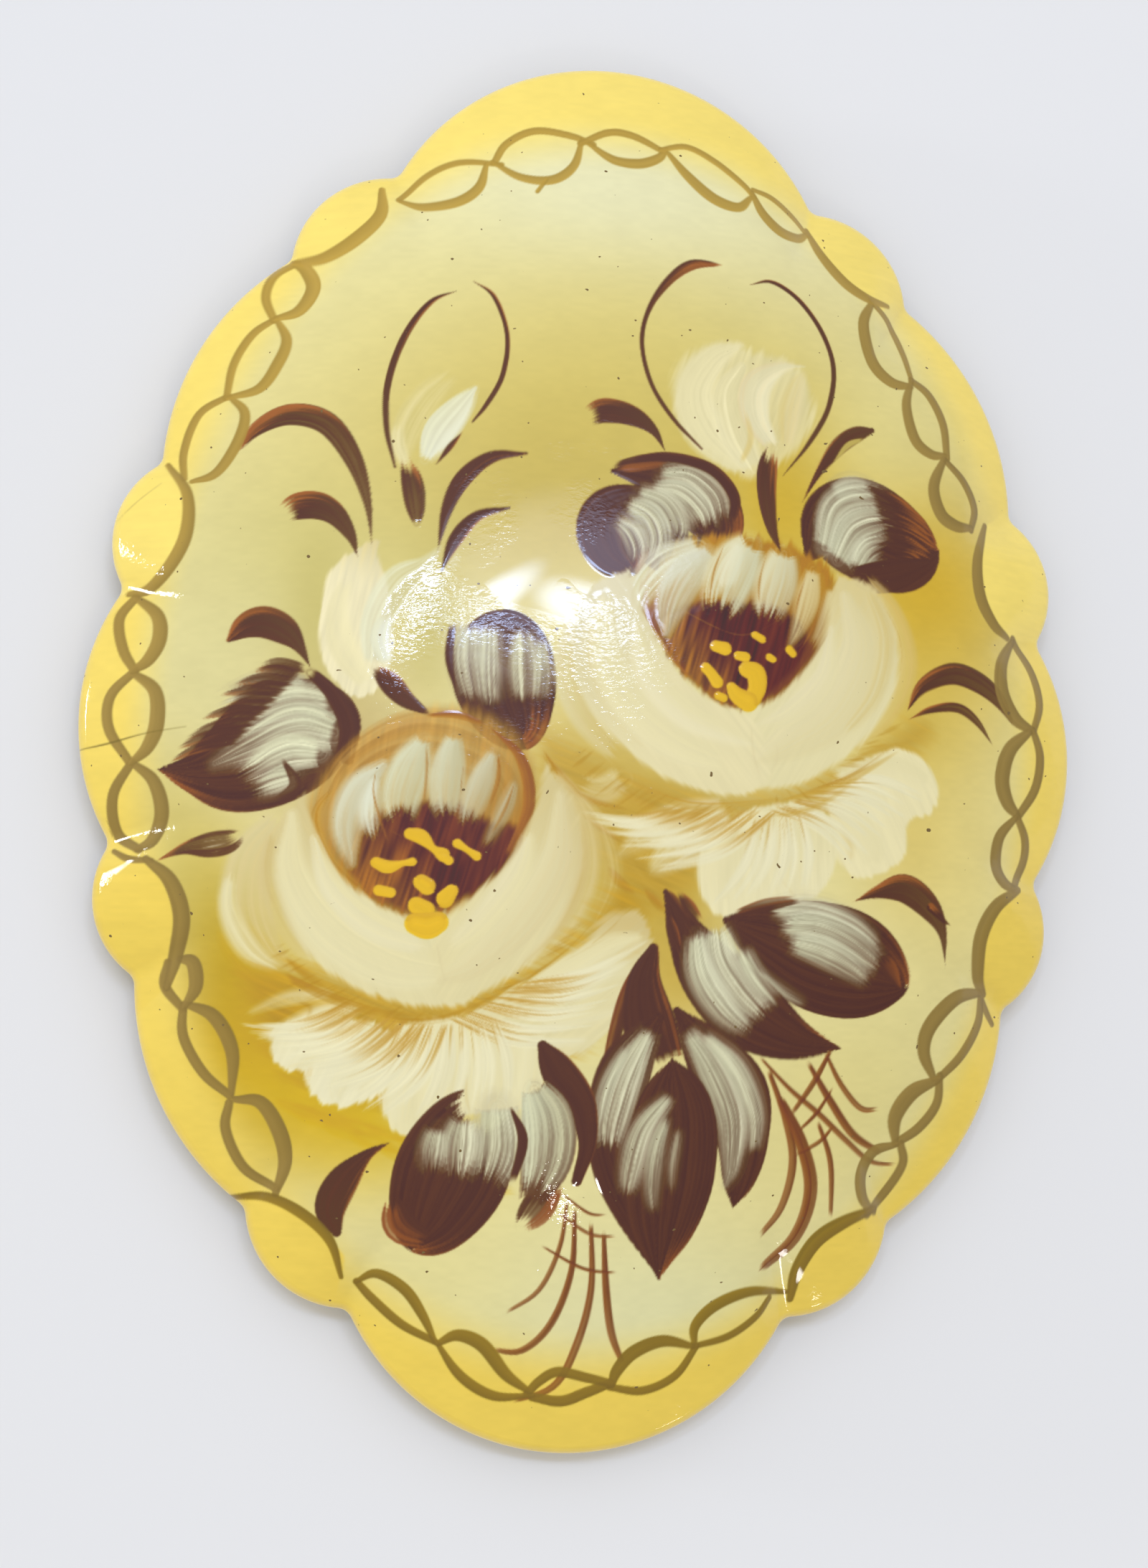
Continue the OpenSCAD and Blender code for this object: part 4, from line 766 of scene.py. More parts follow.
    # ochre shadow under the bowl
    for k, line in enumerate([[(-16.4, -13.2, 0.3), (-13.9, -14.4, 0.6), (-10.8, -15.2, 0.45),
        (-7.8, -15.1, 0.2)], [(-11.6, -15.4, 0.2), (-8.8, -15.5, 0.42), (-6.4, -14.7, 0.42),
        (-3.8, -13.1, 0.2)],
                               [(-6.4, -14.4, 0.15), (-3.8, -13.2, 0.38), (-1.6, -11.4, 0.32),
                               (-0.2, -9.6, 0.1)], [(-15.8, -14.6, 0.1), (-14.6, -15.2, 0.35),
                               (-15.4, -16.2, 0.15)],
                               [(-16.4, -12.2, 0.1), (-15.0, -13.4, 0.5), (-13.2, -14.3, 0.3)],
                               [(-1.4, -12.0, 0.1), (0.2, -10.6, 0.3), (1.2, -9.4, 0.2)],
                               [(-13.6, -15.2, 0.1), (-11.4, -15.9, 0.24), (-9.8, -16.2, 0.1)],
                               [(-2.8, -12.8, 0.08), (-0.8, -11.6, 0.2), (0.9, -10.6, 0.08)],
                               [(-12.6, -15.3, 0.06), (-13.4, -15.9, 0.16), (-14.2, -16.8, 0.06)],
                               [(-9.6, -15.6, 0.06), (-10.4, -16.2, 0.18), (-10.9, -17.2, 0.06)]]):
        stroke(cv, [(x, y, 0.75 * w) for x, y, w in line], (180, 132, 36), DEEP, blend=(-0.3, 1.3),
            fray=(1.0, 1.4), dry=0.7, rough=0.45, soft=0.25, opacity=0.85, bristles=8, seed=451 + k)
    shadow_hairs(cv, [(-16.2, -12.0, -0.9, -0.5), (-14.4, -13.8, -1.4, -0.7), (-11.6, -14.9, -1.4, -0.8),
        (-8.6, -15.2, -0.8, -0.8), (-6.6, -14.6, 1.0, 0.0), (-3.6, -12.8, 1.5, 0.7),
        (-1.2, -10.2, 1.3, 1.1)], 2200)
    # back of the bowl
    shape(cv, [(-14.6, -3.4), (-12.4, -1.2), (-9.0, 0.2), (-6.0, -0.2), (-4.2, -2.2), (-4.0, -5.4),
        (-5.6, -8.2), (-9.0, -10.4), (-12.0, -9.6), (-14.6, -7.4), (-15.2, -5.2)], (190, 146, 66), soft=0.5,
        wobble=0.15,
          opacity=0.75, other=(146, 92, 26), slope=(-11.0, -1.6, -9.0, -8.0), turn=85, grain=0.2, seed=461)
    for k in range(9):
        o = 0.35 - 0.3 * k
        stroke(cv, [(-15.0 - 0.6 * o, -6.0, 0.1), (-13.6 - 0.6 * o, -2.6 + 0.4 * o, 0.34),
            (-10.4 - 0.1 * o, -0.5 + o, 0.42), (-7.0 + 0.2 * o, -0.9 + o, 0.42),
            (-4.8 + 0.6 * o, -3.0 + 0.4 * o, 0.34), (-4.4 + 0.6 * o, -6.0, 0.1)],
               [(176, 120, 46), (200, 156, 88), (146, 92, 36)][k % 3], (190, 140, 66), fray=(1.4, 1.4),
               dry=0.75, rough=0.45, soft=0.35, opacity=0.6, bristles=9, streaks=0.2, seed=811 + k)
    shape(cv, [(-12.4, -5.6), (-10.4, -4.8), (-8.0, -4.6), (-6.2, -5.4), (-4.6, -6.0), (-5.4, -8.0),
        (-7.6, -9.6), (-9.6, -10.2), (-11.6, -9.6), (-13.2, -8.0)], (98, 50, 14), soft=0.3, wobble=0.35,
          other=(146, 92, 22), slope=(-9.0, -6.4, -12.6, -9.4), turn=75, grain=0.3, seed=462)
    brush_hollow(cv, [(-13.2, -7.6), (-11.4, -9.3), (-9.2, -10.0), (-6.8, -9.0), (-4.9, -6.6)], 0.1, 0.7,
        471)
    bowl_hairs(cv, [
        ([(-13.9, -3.9, 0.1), (-14.8, -5.4, 0.3), (-14.0, -7.6, 0.4), (-12.0, -9.4, 0.3)], (176, 116, 24),
        (206, 160, 60), 0.5, 0.9, 0.5, 0.8),
        ([(-11.6, -2.8, 0.35), (-12.7, -4.1, 0.95), (-13.2, -5.9, 0.95), (-12.9, -7.8, 0.35)],
        (216, 216, 186), (196, 188, 150), 0.2, 1.5, 0.4, 0.97),
        ([(-12.0, -3.4, 0.35), (-12.2, -5.2, 0.7), (-11.8, -6.9, 0.3)], (220, 220, 192), None, 0.3, 1.4,
        0.5, 0.88),
        ([(-9.6, -1.4, 0.5), (-10.2, -2.9, 1.2), (-10.6, -4.4, 1.2), (-10.5, -5.8, 0.6)], (214, 213, 176),
        (196, 190, 148), 0.3, 1.3, 0.35, 0.98),
        ([(-8.1, -1.2, 0.5), (-8.3, -2.7, 1.0), (-8.4, -4.2, 1.0), (-8.2, -5.6, 0.5)], (212, 210, 174),
        (192, 184, 142), 0.3, 1.2, 0.35, 0.98),
        ([(-6.1, -1.9, 0.35), (-6.6, -3.3, 0.8), (-7.1, -4.8, 0.75), (-7.4, -6.1, 0.3)], (208, 204, 170),
        (188, 176, 134), 0.2, 1.3, 0.4, 0.97),
        ([(-4.9, -3.3, 0.25), (-5.3, -4.6, 0.55), (-6.0, -6.1, 0.45), (-6.6, -7.2, 0.15)], (200, 192, 158),
        (168, 146, 96), 0.3, 1.3, 0.5, 0.93),
        ([(-12.3, -0.9, 0.1), (-10.8, -0.7, 0.3), (-9.2, -0.3, 0.3)], (196, 150, 84), None, 0.5, 0.8, 0.6,
        0.6),
    ], 481)
    strokes(cv, [[(-11.9, -2.8, 0.06), (-12.0, -4.2, 0.12), (-11.5, -5.8, 0.16), (-11.0, -7.0, 0.08)],
        [(-9.5, -1.4, 0.05), (-9.4, -3.0, 0.12), (-9.5, -5.0, 0.12)],
                 [(-7.4, -1.4, 0.06), (-7.6, -3.0, 0.14), (-7.7, -5.0, 0.12)],
                 [(-5.9, -1.8, 0.1), (-5.8, -3.2, 0.2), (-6.3, -5.0, 0.16)],
                 [(-6.4, -0.6, 0.15), (-4.7, -2.2, 0.4), (-4.2, -4.6, 0.45), (-5.2, -7.2, 0.3)],
                 [(-9.6, -0.2, 0.15), (-8.0, -0.1, 0.3), (-6.4, -0.6, 0.2)],
                 [(-4.9, -3.2, 0.05), (-5.4, -4.8, 0.14), (-6.2, -6.4, 0.08)]],
            (178, 118, 42), (136, 78, 26), 501, fray=(0.5, 0.7), dry=0.45, rough=0.2, opacity=0.9)
    # front of the bowl
    shape(cv, [(-15.4, -4.2), (-16.6, -6.0), (-16.8, -8.8), (-15.4, -11.8), (-12.6, -13.9), (-9.4, -14.8),
        (-6.8, -14.6), (-6.4, -12.8), (-7.0, -11.0), (-9.4, -10.5), (-11.6, -9.8), (-13.8, -8.0),
        (-15.0, -5.8)],
          (221, 209, 158), soft=0.2, wobble=0.18, opacity=0.97, other=(208, 190, 132),
          slope=(-13.6, -10.4, -17.0, -6.8), grain=0.02, turn=-60, seed=511)
    shape(cv, [(-3.4, -2.4), (-1.9, -4.4), (-1.3, -7.2), (-2.2, -10.2), (-4.2, -12.8), (-6.8, -14.4),
        (-8.6, -14.2), (-8.8, -12.4), (-8.0, -10.6), (-6.6, -9.0), (-5.0, -7.2), (-4.0, -5.0)],
          (220, 207, 154), soft=0.2, wobble=0.18, opacity=0.97, other=(210, 192, 134),
          slope=(-5.0, -9.0, -1.4, -5.4), grain=0.02, turn=60, seed=512)
    bowl_hairs(cv, [
        ([(-16.0, -5.4, 0.4), (-15.8, -8.4, 1.0), (-13.8, -11.2, 1.3), (-10.8, -12.9, 1.3),
        (-8.0, -13.2, 0.7)], (224, 213, 164), CREAM, 0.9, 0.8, 0.3, 0.85),
        ([(-14.8, -6.6, 0.3), (-13.9, -8.9, 0.7), (-11.6, -10.9, 0.9), (-8.8, -11.7, 0.7)], (229, 219, 176),
        CREAM, 0.8, 0.8, 0.35, 0.85),
        ([(-17.0, -6.0, 0.3), (-17.2, -8.8, 0.5), (-15.8, -11.6, 0.5), (-14.0, -13.2, 0.2)],
        (210, 190, 134), (194, 166, 96), 0.8, 1.2, 0.6, 0.65),
        ([(-2.6, -4.0, 0.4), (-2.7, -7.2, 1.0), (-4.2, -10.2, 1.2), (-6.6, -12.6, 0.9), (-8.2, -13.4, 0.4)],
        (224, 212, 162), (214, 198, 146), 0.9, 0.9, 0.35, 0.8),
        ([(-4.0, -5.6, 0.3), (-4.6, -8.0, 0.8), (-6.4, -10.6, 0.8), (-8.0, -12.0, 0.4)], (228, 217, 172),
        CREAM, 0.8, 0.8, 0.35, 0.8),
        ([(-1.5, -5.0, 0.2), (-1.3, -7.6, 0.4), (-2.4, -10.6, 0.4), (-4.6, -13.0, 0.2)], (208, 186, 128),
        (196, 168, 100), 0.9, 1.3, 0.6, 0.6),
        ([(-8.5, -11.6, 0.04), (-8.2, -12.8, 0.1), (-7.9, -13.8, 0.04)], (200, 180, 130), None, 0.3, 0.5,
        0.4, 0.5),
    ], 521)
    stamens(cv, [[(-10.1, -6.2, 0.34), (-9.5, -6.35, 0.42), (-8.9, -6.9, 0.24), (-8.4, -7.2, 0.4)],
        [(-8.4, -7.3, 0.3), (-8.1, -7.5, 0.3)], [(-7.7, -6.6, 0.3), (-7.2, -6.9, 0.22), (-6.7, -7.2, 0.3)],
                 [(-11.7, -7.7, 0.34), (-11.1, -7.9, 0.4), (-10.4, -7.7, 0.22), (-9.9, -7.6, 0.28)],
                 [(-11.5, -9.1, 0.34), (-10.9, -9.2, 0.32)], [(-9.4, -8.6, 0.46), (-9.1, -8.8, 0.5)],
                 [(-7.9, -9.0, 0.4), (-8.2, -9.4, 0.52)], [(-9.6, -9.8, 0.5), (-9.1, -10.0, 0.5)],
                 [(-9.6, -10.7, 0.6), (-9.0, -10.8, 0.72), (-8.5, -10.6, 0.6)]], 541)


def paint_leaves_front(cv):
    # right leaf, lying on its side
    leaf(cv, [(6.3, -9.9, 0.3), (8.4, -10.6, 1.6), (11.0, -11.4, 2.8), (13.4, -11.9, 2.8),
        (15.4, -12.4, 1.5), (16.6, -12.8, 0.15)],
         [([(8.4, -9.3, 0.35), (10.8, -9.2, 0.6), (13.2, -9.8, 0.55), (15.0, -10.9, 0.3)], 1.2, 0.8, 0.6),
          ([(9.0, -10.0, 0.4), (11.2, -10.0, 0.8), (13.4, -10.8, 0.8), (15.2, -12.0, 0.4)], 1.0, 0.9, 0.5),
          ([(9.6, -10.8, 0.4), (11.6, -11.2, 0.7), (13.4, -12.0, 0.6), (14.6, -12.9, 0.25)], 0.8, 0.8, 0.5),
          ([(8.0, -12.4, 0.15), (9.4, -13.4, 0.3), (11.2, -14.2, 0.15)], 0.6, 0.9, 0.8)], 601, rust=1.1,
          fray=(0.6, 0.4))
    stroke(cv, [(6.6, -9.6, 0.2), (8.4, -9.0, 0.35), (10.4, -8.6, 0.2)], BROWN, RUST, blend=(-0.2, 0.8),
        fray=(0.5, 1.0), dry=0.4, seed=607)
    stroke(cv, [(16.3, -12.9, 0.1), (15.6, -12.0, 0.5), (15.0, -11.2, 0.3)], RUST, BROWN, fray=(0.1, 0.9),
        dry=0.4, seed=608)
    # left of it, a long leaf that curves down to the right
    leaf(cv, [(3.0, -8.6, 0.2), (4.3, -10.9, 1.1), (5.8, -12.9, 1.75), (7.9, -14.6, 1.9),
        (10.4, -15.8, 1.1), (13.0, -16.2, 0.1)],
         [([(5.6, -10.2, 0.6), (6.0, -12.0, 1.0), (7.2, -13.6, 1.0), (8.8, -15.0, 0.6)], 0.8, 1.2, 0.35),
          ([(4.7, -10.6, 0.4), (5.1, -12.6, 0.7), (6.4, -14.4, 0.7), (8.2, -15.8, 0.3)], 0.6, 1.3, 0.5),
          ([(7.0, -11.2, 0.4), (8.0, -12.8, 0.5), (9.6, -14.4, 0.4)], 0.8, 1.2, 0.6)], 621, rust=1.2,
          fray=(0.9, 0.2))
    for k, (a, b) in enumerate([((2.8, -8.3), (4.4, -10.2)), ((3.6, -8.5), (4.9, -10.0)),
        ((3.1, -9.6), (3.8, -11.6))]):
        stroke(cv, [(a[0], a[1], 0.1), ((a[0] + b[0]) / 2, (a[1] + b[1]) / 2, 0.35), (b[0], b[1], 0.2)],
            BROWN, RUST, blend=(0.0, 1.0), fray=(0.8, 0.6), dry=0.4, seed=631 + k)
    # stem and the pointed pair at the bottom
    stroke(cv, [(2.4, -11.4, 0.15), (1.4, -13.4, 0.4), (0.8, -15.6, 0.4), (0.3, -18.4, 0.25)],
        (124, 68, 34), BROWN, fray=(0.6, 0.8), dry=0.2, seed=642)
    stroke(cv, [(2.5, -11.5, 0.3), (2.1, -13.2, 0.9), (2.5, -15.4, 1.4), (3.3, -17.4, 1.2)], BROWN, RUST,
        blend=(0.4, 1.2), fray=(0.6, 0.6), seed=641)
    leaf(cv, [(3.9, -14.6, 0.3), (5.6, -16.6, 1.3), (7.2, -18.7, 1.95), (7.9, -21.0, 1.5),
        (7.9, -23.0, 1.0), (7.7, -24.6, 0.1)],
         [([(4.4, -15.4, 0.3), (6.0, -17.4, 0.75), (7.2, -19.8, 0.8), (7.4, -22.3, 0.5), (7.2, -23.4, 0.2)],
         0.8, 0.8, 0.4),
          ([(5.2, -15.6, 0.25), (7.2, -17.4, 0.55), (8.4, -19.8, 0.55), (8.5, -22.0, 0.3)], 0.9, 0.8, 0.5)],
          651, rust=1.5, fray=(0.2, 0.3))
    leaf(cv, [(2.9, -15.0, 0.4), (1.5, -17.4, 1.4), (1.0, -20.0, 1.5), (1.6, -22.6, 1.6), (2.9, -25.2, 1.3),
        (4.1, -28.4, 0.1)],
         [([(2.6, -15.5, 0.3), (1.5, -17.8, 0.8), (0.9, -20.2, 0.8), (0.8, -22.0, 0.4)], 0.7, 1.0, 0.4),
          ([(1.5, -16.4, 0.2), (0.5, -18.6, 0.4), (0.2, -20.8, 0.25)], 0.6, 0.8, 0.5)], 671, rust=0.9,
          fray=(0.2, 0.5))
    leaf(cv, [(3.8, -17.0, 0.1), (4.1, -19.8, 2.1), (4.1, -22.6, 2.5), (4.0, -25.0, 2.0), (4.0, -27.0, 0.9),
        (4.0, -28.4, 0.1)],
         [([(3.9, -18.8, 0.25), (2.6, -20.6, 0.6), (2.1, -22.6, 0.6), (1.9, -24.4, 0.25)], 0.6, 0.9, 0.4),
          ([(3.8, -19.8, 0.2), (3.3, -21.6, 0.4), (3.2, -23.6, 0.4), (3.5, -25.3, 0.15)], 0.8, 0.9, 0.6),
          ([(4.4, -20.4, 0.15), (4.2, -22.4, 0.25), (4.3, -24.2, 0.1)], 0.8, 0.9, 0.9)], 681, rust=1.0,
          fray=(0.2, 0.5))
    # two leaves at the lower left
    stroke(cv, [(-2.9, -16.6, 0.3), (-2.0, -17.9, 0.9), (-0.8, -19.4, 0.8), (-0.3, -21.4, 0.5),
        (-0.7, -23.4, 0.3)], BROWN, RUST, blend=(0.6, 1.4), fray=(0.9, 0.3), seed=701)
    stroke(cv, [(-1.9, -23.4, 0.6), (-2.6, -24.8, 0.9), (-3.4, -25.8, 0.4)], BROWN, RUST, blend=(-0.1, 0.9),
        fray=(0.8, 0.9), dry=0.4, seed=702)
    stroke(cv, [(-3.2, -18.8, 0.7), (-2.4, -20.4, 1.5), (-2.3, -22.4, 1.5), (-3.0, -24.6, 0.7)],
        (110, 78, 54), (96, 60, 40), fray=(0.4, 0.6), rough=0.3, soft=0.2, seed=704)
    stroke(cv, [(-3.2, -18.8, 0.8), (-2.5, -20.4, 1.5), (-2.4, -22.4, 1.45), (-3.0, -24.4, 0.6)],
        (208, 208, 170), (186, 180, 142), fray=(0.3, 1.6), dry=0.55, rough=0.4, soft=0.3, bristles=9,
        streaks=0.32, seed=703)
    leaf(cv, [(-6.0, -20.4, 1.7), (-6.5, -21.6, 2.6), (-7.1, -23.3, 3.0), (-7.8, -25.2, 2.3),
        (-8.3, -26.3, 1.2), (-8.6, -26.9, 0.4)],
         [([(-5.0, -19.8, 0.7), (-4.8, -22.0, 1.0), (-5.4, -24.2, 0.5)], 0.3, 1.6, 0.45),
          ([(-6.6, -20.4, 0.5), (-6.7, -21.9, 0.85), (-6.8, -23.9, 0.4)], 0.5, 1.5, 0.7),
          ([(-7.9, -20.9, 0.4), (-8.1, -22.2, 0.6), (-8.1, -23.6, 0.3)], 0.5, 1.3, 0.9)], 711, rust=1.1,
          fray=(0.9, 0.7))
    stroke(cv, [(-4.3, -19.8, 0.1), (-3.6, -21.4, 0.3), (-4.0, -23.6, 0.2)], BROWN, fray=(0.2, 0.6),
        seed=718)
    stroke(cv, [(-9.9, -24.6, 0.4), (-9.4, -26.0, 0.9), (-8.0, -26.7, 0.4)], RUST, BROWN, blend=(-0.2, 0.9),
        fray=(0.9, 0.6), dry=0.5, seed=719)


def paint_front(cv):
    """The whole painting: lobes and field, shading, flowers, leaves, then the chain."""
    cv.rgb[:] = np.array(FIELD, np.float32) / 255
    for g in GLOWS:
        glow(cv, *g)
    out = ramp(0.82, 0.93, np.hypot(cv.x / 27.2, cv.y / 37.4))[..., None]
    # The lobes keep their own yellow. It is painted lighter towards the top and darker towards the bottom,
    # which is painted shade of light falling from above.
    lit_from_top = ramp(-36, 38, cv.y)[..., None]
    rim = (np.array(LOBE_SHADED_LOW) * (1 - lit_from_top) + np.array(LOBE_LIT_TOP) * lit_from_top) / 255
    cv.rgb = (cv.rgb * (1 - out) + rim * out).astype(np.float32)
    for k, (half, *points) in enumerate(ARCS):
        ends = [(1.25 * x, 1.25 * y) for x, y in (points[-1], points[0])]
        # Upper arcs take the lit yellow; lower arcs take the painted-shade yellow.
        shape(cv, points + ends, LOBE_LIT_TOP if points[0][1] > 0 else LOBE_SHADED_LOW, soft=0.1, wobble=0.04,
            grain=0.012, lift=0, seed=1201 + k)
    grain = 0.5 * cloud(cv.x * 2.1 + 60, cv.y * 5 + 90, 3) + 0.5 * cloud(cv.x * 0.7 + 60, cv.y * 0.9 + 60,
        4)
    cv.rgb *= (1 + 0.035 * (grain - 0.5))[..., None]
    for k in range(26):  # dry ochre brushing round the lower rose
        t = k / 25
        x, y = -19.6 + 3.2 * t + 0.7 * math.sin(k * 2.7), -9.0 - 9.5 * t + 0.5 * math.sin(k * 4.1)
        stroke(cv, [(x, y, 0.2), (x + 1.2 + 2.0 * t, y - 2.2 + 1.4 * t, 0.75),
            (x + 3.0 + 4.0 * t, y - 4.2 + 2.6 * t, 0.2)], (192, 152, 34), (206, 168, 50), fray=(1.2, 1.8),
            dry=0.9,
               rough=0.5, soft=0.4, opacity=0.4, seed=801 + k)
    for k in range(14):  # and below its petals
        x, y = -16.5 + 0.75 * k, -19.6 - 0.24 * k + 0.4 * math.sin(k * 3.3)
        stroke(cv, [(x, y, 0.2), (x + 1.6, y - 0.7, 0.6), (x + 3.6, y - 1.1, 0.2)], (210, 168, 22),
            (196, 152, 20), fray=(1.0, 1.4), dry=0.8, rough=0.4, soft=0.35, opacity=0.5, seed=841 + k)
    for k in range(12):  # between the two roses
        x, y = -2.2 + 0.45 * k, -3.4 - 0.5 * k + 0.5 * math.sin(k * 2.2)
        stroke(cv, [(x, y, 0.2), (x + 1.3, y - 1.1, 0.5), (x + 2.4, y - 2.6, 0.15)], (176, 138, 36),
            (200, 164, 66), fray=(0.9, 1.2), dry=0.8, rough=0.4, soft=0.3, opacity=0.5, seed=861 + k)
    paint_buds(cv)
    paint_leaves_behind(cv)
    paint_rose_right(cv)
    strokes(cv, [[(-3.8, -1.4, 0.1), (-2.6, -3.0, 0.35), (-0.4, -4.8, 0.1)],
        [(-3.2, -3.2, 0.1), (-1.0, -4.2, 0.3), (1.4, -4.6, 0.1)],
        [(-1.8, -4.6, 0.1), (-0.4, -5.6, 0.3), (1.2, -6.4, 0.1)],
                 [(-0.2, -7.2, 0.1), (0.6, -8.2, 0.4), (1.8, -9.0, 0.1)],
                 [(1.6, -8.2, 0.1), (2.6, -9.2, 0.35), (3.4, -10.0, 0.1)],
                 [(-1.0, -2.4, 0.06), (1.0, -3.6, 0.16), (3.6, -4.6, 0.06)],
                 [(9.4, -3.4, 0.06), (13.0, -1.9, 0.2), (16.0, 0.4, 0.06)],
                 [(13.8, 8.2, 0.06), (15.6, 5.4, 0.14), (15.4, 2.0, 0.06)]],
            (176, 126, 34), (198, 150, 92), 881, blend=(0, 1.2), fray=(0.8, 1.0), dry=0.6, rough=0.3,
            soft=0.2, opacity=0.9, bristles=9)
    paint_rose_left(cv)
    paint_leaves_front(cv)
    for k, (half, *points) in enumerate(GRASS):
        n = len(points) - 1
        stroke(cv, [(x, y, 1.35 * half * (0.5 + 0.7 * math.sin(math.pi * (i + 0.35) / (n + 0.9)))) for i,
            (x, y) in enumerate(points)], (140, 80, 36), (106, 56, 28), fray=(0.4, 0.6), dry=0.25,
            rough=0.05,
               opacity=0.95, seed=901 + k)
    for k, (points, rust, land, leave) in enumerate(COMMAS):
        if max(w for _, _, w in points) < 0.25:  # a bud's thin loop
            points = [(x, y, 1.45 * w) for x, y, w in points]
        stroke(cv, points, BROWN, (152, 90, 48), blend=(0.3, 1.2), spread=0.7, along=(-4.2 * rust, 0.4),
            fray=(land, leave), rough=0.1, streaks=0.3, bristles=8,
               dry=0.3 * rust, seed=931 + k)
    for k in range(3):
        stroke(cv, [(-20.9 + 0.2 * k, -6.9 - 0.3 * k, 0.05), (-19.9 + 0.1 * k, -6.75 - 0.28 * k, 0.13),
            (-18.9, -6.6 - 0.22 * k, 0.06)], (206, 190, 150), fray=(0.4, 0.6), dry=0.3, rough=0.2,
            opacity=0.8, seed=961 + k)
    stroke(cv, [(11.7, 14.8, 0.06), (12.6, 15.9, 0.2), (13.5, 16.4, 0.12)], (186, 164, 84), fray=(0.3, 0.3),
        seed=925)
    for k, (half, *points) in enumerate(CHAIN + ARCS):
        half = half * 0.92 + 0.07
        n = len(points) - 1
        x, y = np.mean([p[0] for p in points]), np.mean([p[1] for p in points])
        # The chain keeps its own olive. It is painted lighter towards the top left as painted light, and
        # darker at the bottom as painted shade.
        tone = [a + (b - a) * max(0, min(1, (y + 6 - max(0, x)) / 30)) for a, b in zip(OLIVE, OLIVE_LIT_TOP)]
        if y < -24:
            tone = OLIVE_SHADED_LOW
        if half < 0.3:
            path = [(px, py, half * (0.95 + 0.25 * math.sin(math.pi * i / n))) for i,
                (px, py) in enumerate(points)]
        else:
            path = [(px, py, half * (0.5 + 0.55 * math.sin(math.pi * i / n) ** 0.8)) for i,
                (px, py) in enumerate(points)]
        stroke(cv, path, tone, [c * 0.84 for c in tone], blend=(-0.3, 1.6), soft=0.07, rough=0.05,
            opacity=0.93, bristles=4, streaks=0.16, seed=1001 + k)
    # a hairline crack and a scratch in the lacquer
    stroke(cv, [(-27.2, -2.0, 0.05), (-25.6, -1.7, 0.07), (-23.6, -1.2, 0.05), (-21.6, -0.9, 0.02)],
        (112, 96, 44), opacity=0.85, lift=-0.6, seed=1101)
    stroke(cv, [(-25.8, 10.4, 0.02), (-24.8, 11.4, 0.05), (-23.6, 12.4, 0.02)], (168, 146, 80), opacity=0.6,
        lift=-0.3, seed=1102)

# ---- The body's shape, with the same rules as the CAD solid ----
WIDTH, LENGTH = 54.6, 76.0
SIDE, CORNER, SMALL, END = 2.0, 1.6, 1.5, 7.3
FILLET, EDGE, EDGE_START = 0.9, 1.1, 55.0
RIM, RISE, WALL, POWER, LAND = 1.2, 7.2, 2.8, 2.5, 2.1
TURNS = (11.4, 23.6, 47.9, 63.0)
CROWN = RIM + RISE + WALL
NOTCH_A = (WIDTH / 2 - SIDE) / math.cos(math.radians(TURNS[0]))
NOTCH_B = (LENGTH / 2 - END) / math.sin(math.radians(TURNS[3]))
EVEN_A, EVEN_B, BLEND_FROM = WIDTH / 2 - 0.6, LENGTH / 2 - 1.4, 0.7


def outline_points():
    back = TURNS[::-1]
    turns = [*TURNS, *(180 - t for t in back), *(180 + t for t in TURNS), *(360 - t for t in back)]
    bulge = [SMALL, CORNER, SMALL, END, SMALL, CORNER, SMALL, SIDE]
    notch = [np.array([NOTCH_A * math.cos(math.radians(t)),
        NOTCH_B * math.sin(math.radians(t))]) for t in turns]
    centres, radii = [], []
    for i in range(16):
        a, b = notch[i], notch[(i + 1) % 16]
        half, rise = np.linalg.norm(b - a) / 2, bulge[i % 8]
        r = (half * half + rise * rise) / (2 * rise)
        way = (b - a) / (2 * half)
        centres.append((a + b) / 2 + np.array([-way[1], way[0]]) * (r - rise))
        radii.append(r)
    fillets = []
    for i in range(16):
        p, q = centres[i], centres[(i + 1) % 16]
        rp, rq, gap = radii[i] + FILLET, radii[(i + 1) % 16] + FILLET, np.linalg.norm(q - p)
        way = (q - p) / gap
        along = (gap * gap + rp * rp - rq * rq) / (2 * gap)
        fillets.append(p + way * along - np.array([-way[1], way[0]]) * math.sqrt(rp * rp - along * along))
    out = []
    for i in range(16):
        for c, r, a, b, steps in ((centres[i], radii[i], fillets[i - 1], fillets[i], 80),
                                  (fillets[i], FILLET, centres[i], centres[(i + 1) % 16], 16)):
            a0, a1 = math.atan2(*(a - c)[::-1]), math.atan2(*(b - c)[::-1])
            a1 += 2 * math.pi * round((a0 - a1) / (2 * math.pi))
            for k in range(steps):
                t = a0 + (a1 - a0) * k / steps
                out.append(c + r * np.array([math.cos(t), math.sin(t)]))
    return np.array(out)


OUTLINE = outline_points()
_turn = np.arctan2(OUTLINE[:, 1], OUTLINE[:, 0])
_order = np.argsort(_turn)
_turn, _reach = _turn[_order], np.hypot(*OUTLINE.T)[_order]
_turn = np.concatenate([_turn[-1:] - 2 * np.pi, _turn, _turn[:1] + 2 * np.pi])
_reach = np.concatenate([_reach[-1:], _reach, _reach[:1]])


def reach(turn):
    """Distance from the middle to the outline, in the direction turn."""
    return np.interp(turn, _turn, _reach)


def top_surface(turn, s):
    """Points on the front, s from 0 at the middle to 1 where the rounded rim begins."""
    c, d = np.cos(turn), np.sin(turn)
    start = math.radians(EDGE_START)
    rim = reach(turn) - EDGE * (1 - math.cos(start))
    even = 1 / np.hypot(c / EVEN_A, d / EVEN_B)
    w = ramp(BLEND_FROM, 1, s)
    flat = s * (rim * w + even * (1 - w))
    rim_z = RIM + EDGE * (1 + math.sin(start))
    return flat * c, flat * d, rim_z + (CROWN - rim_z) * (1 - s**POWER)


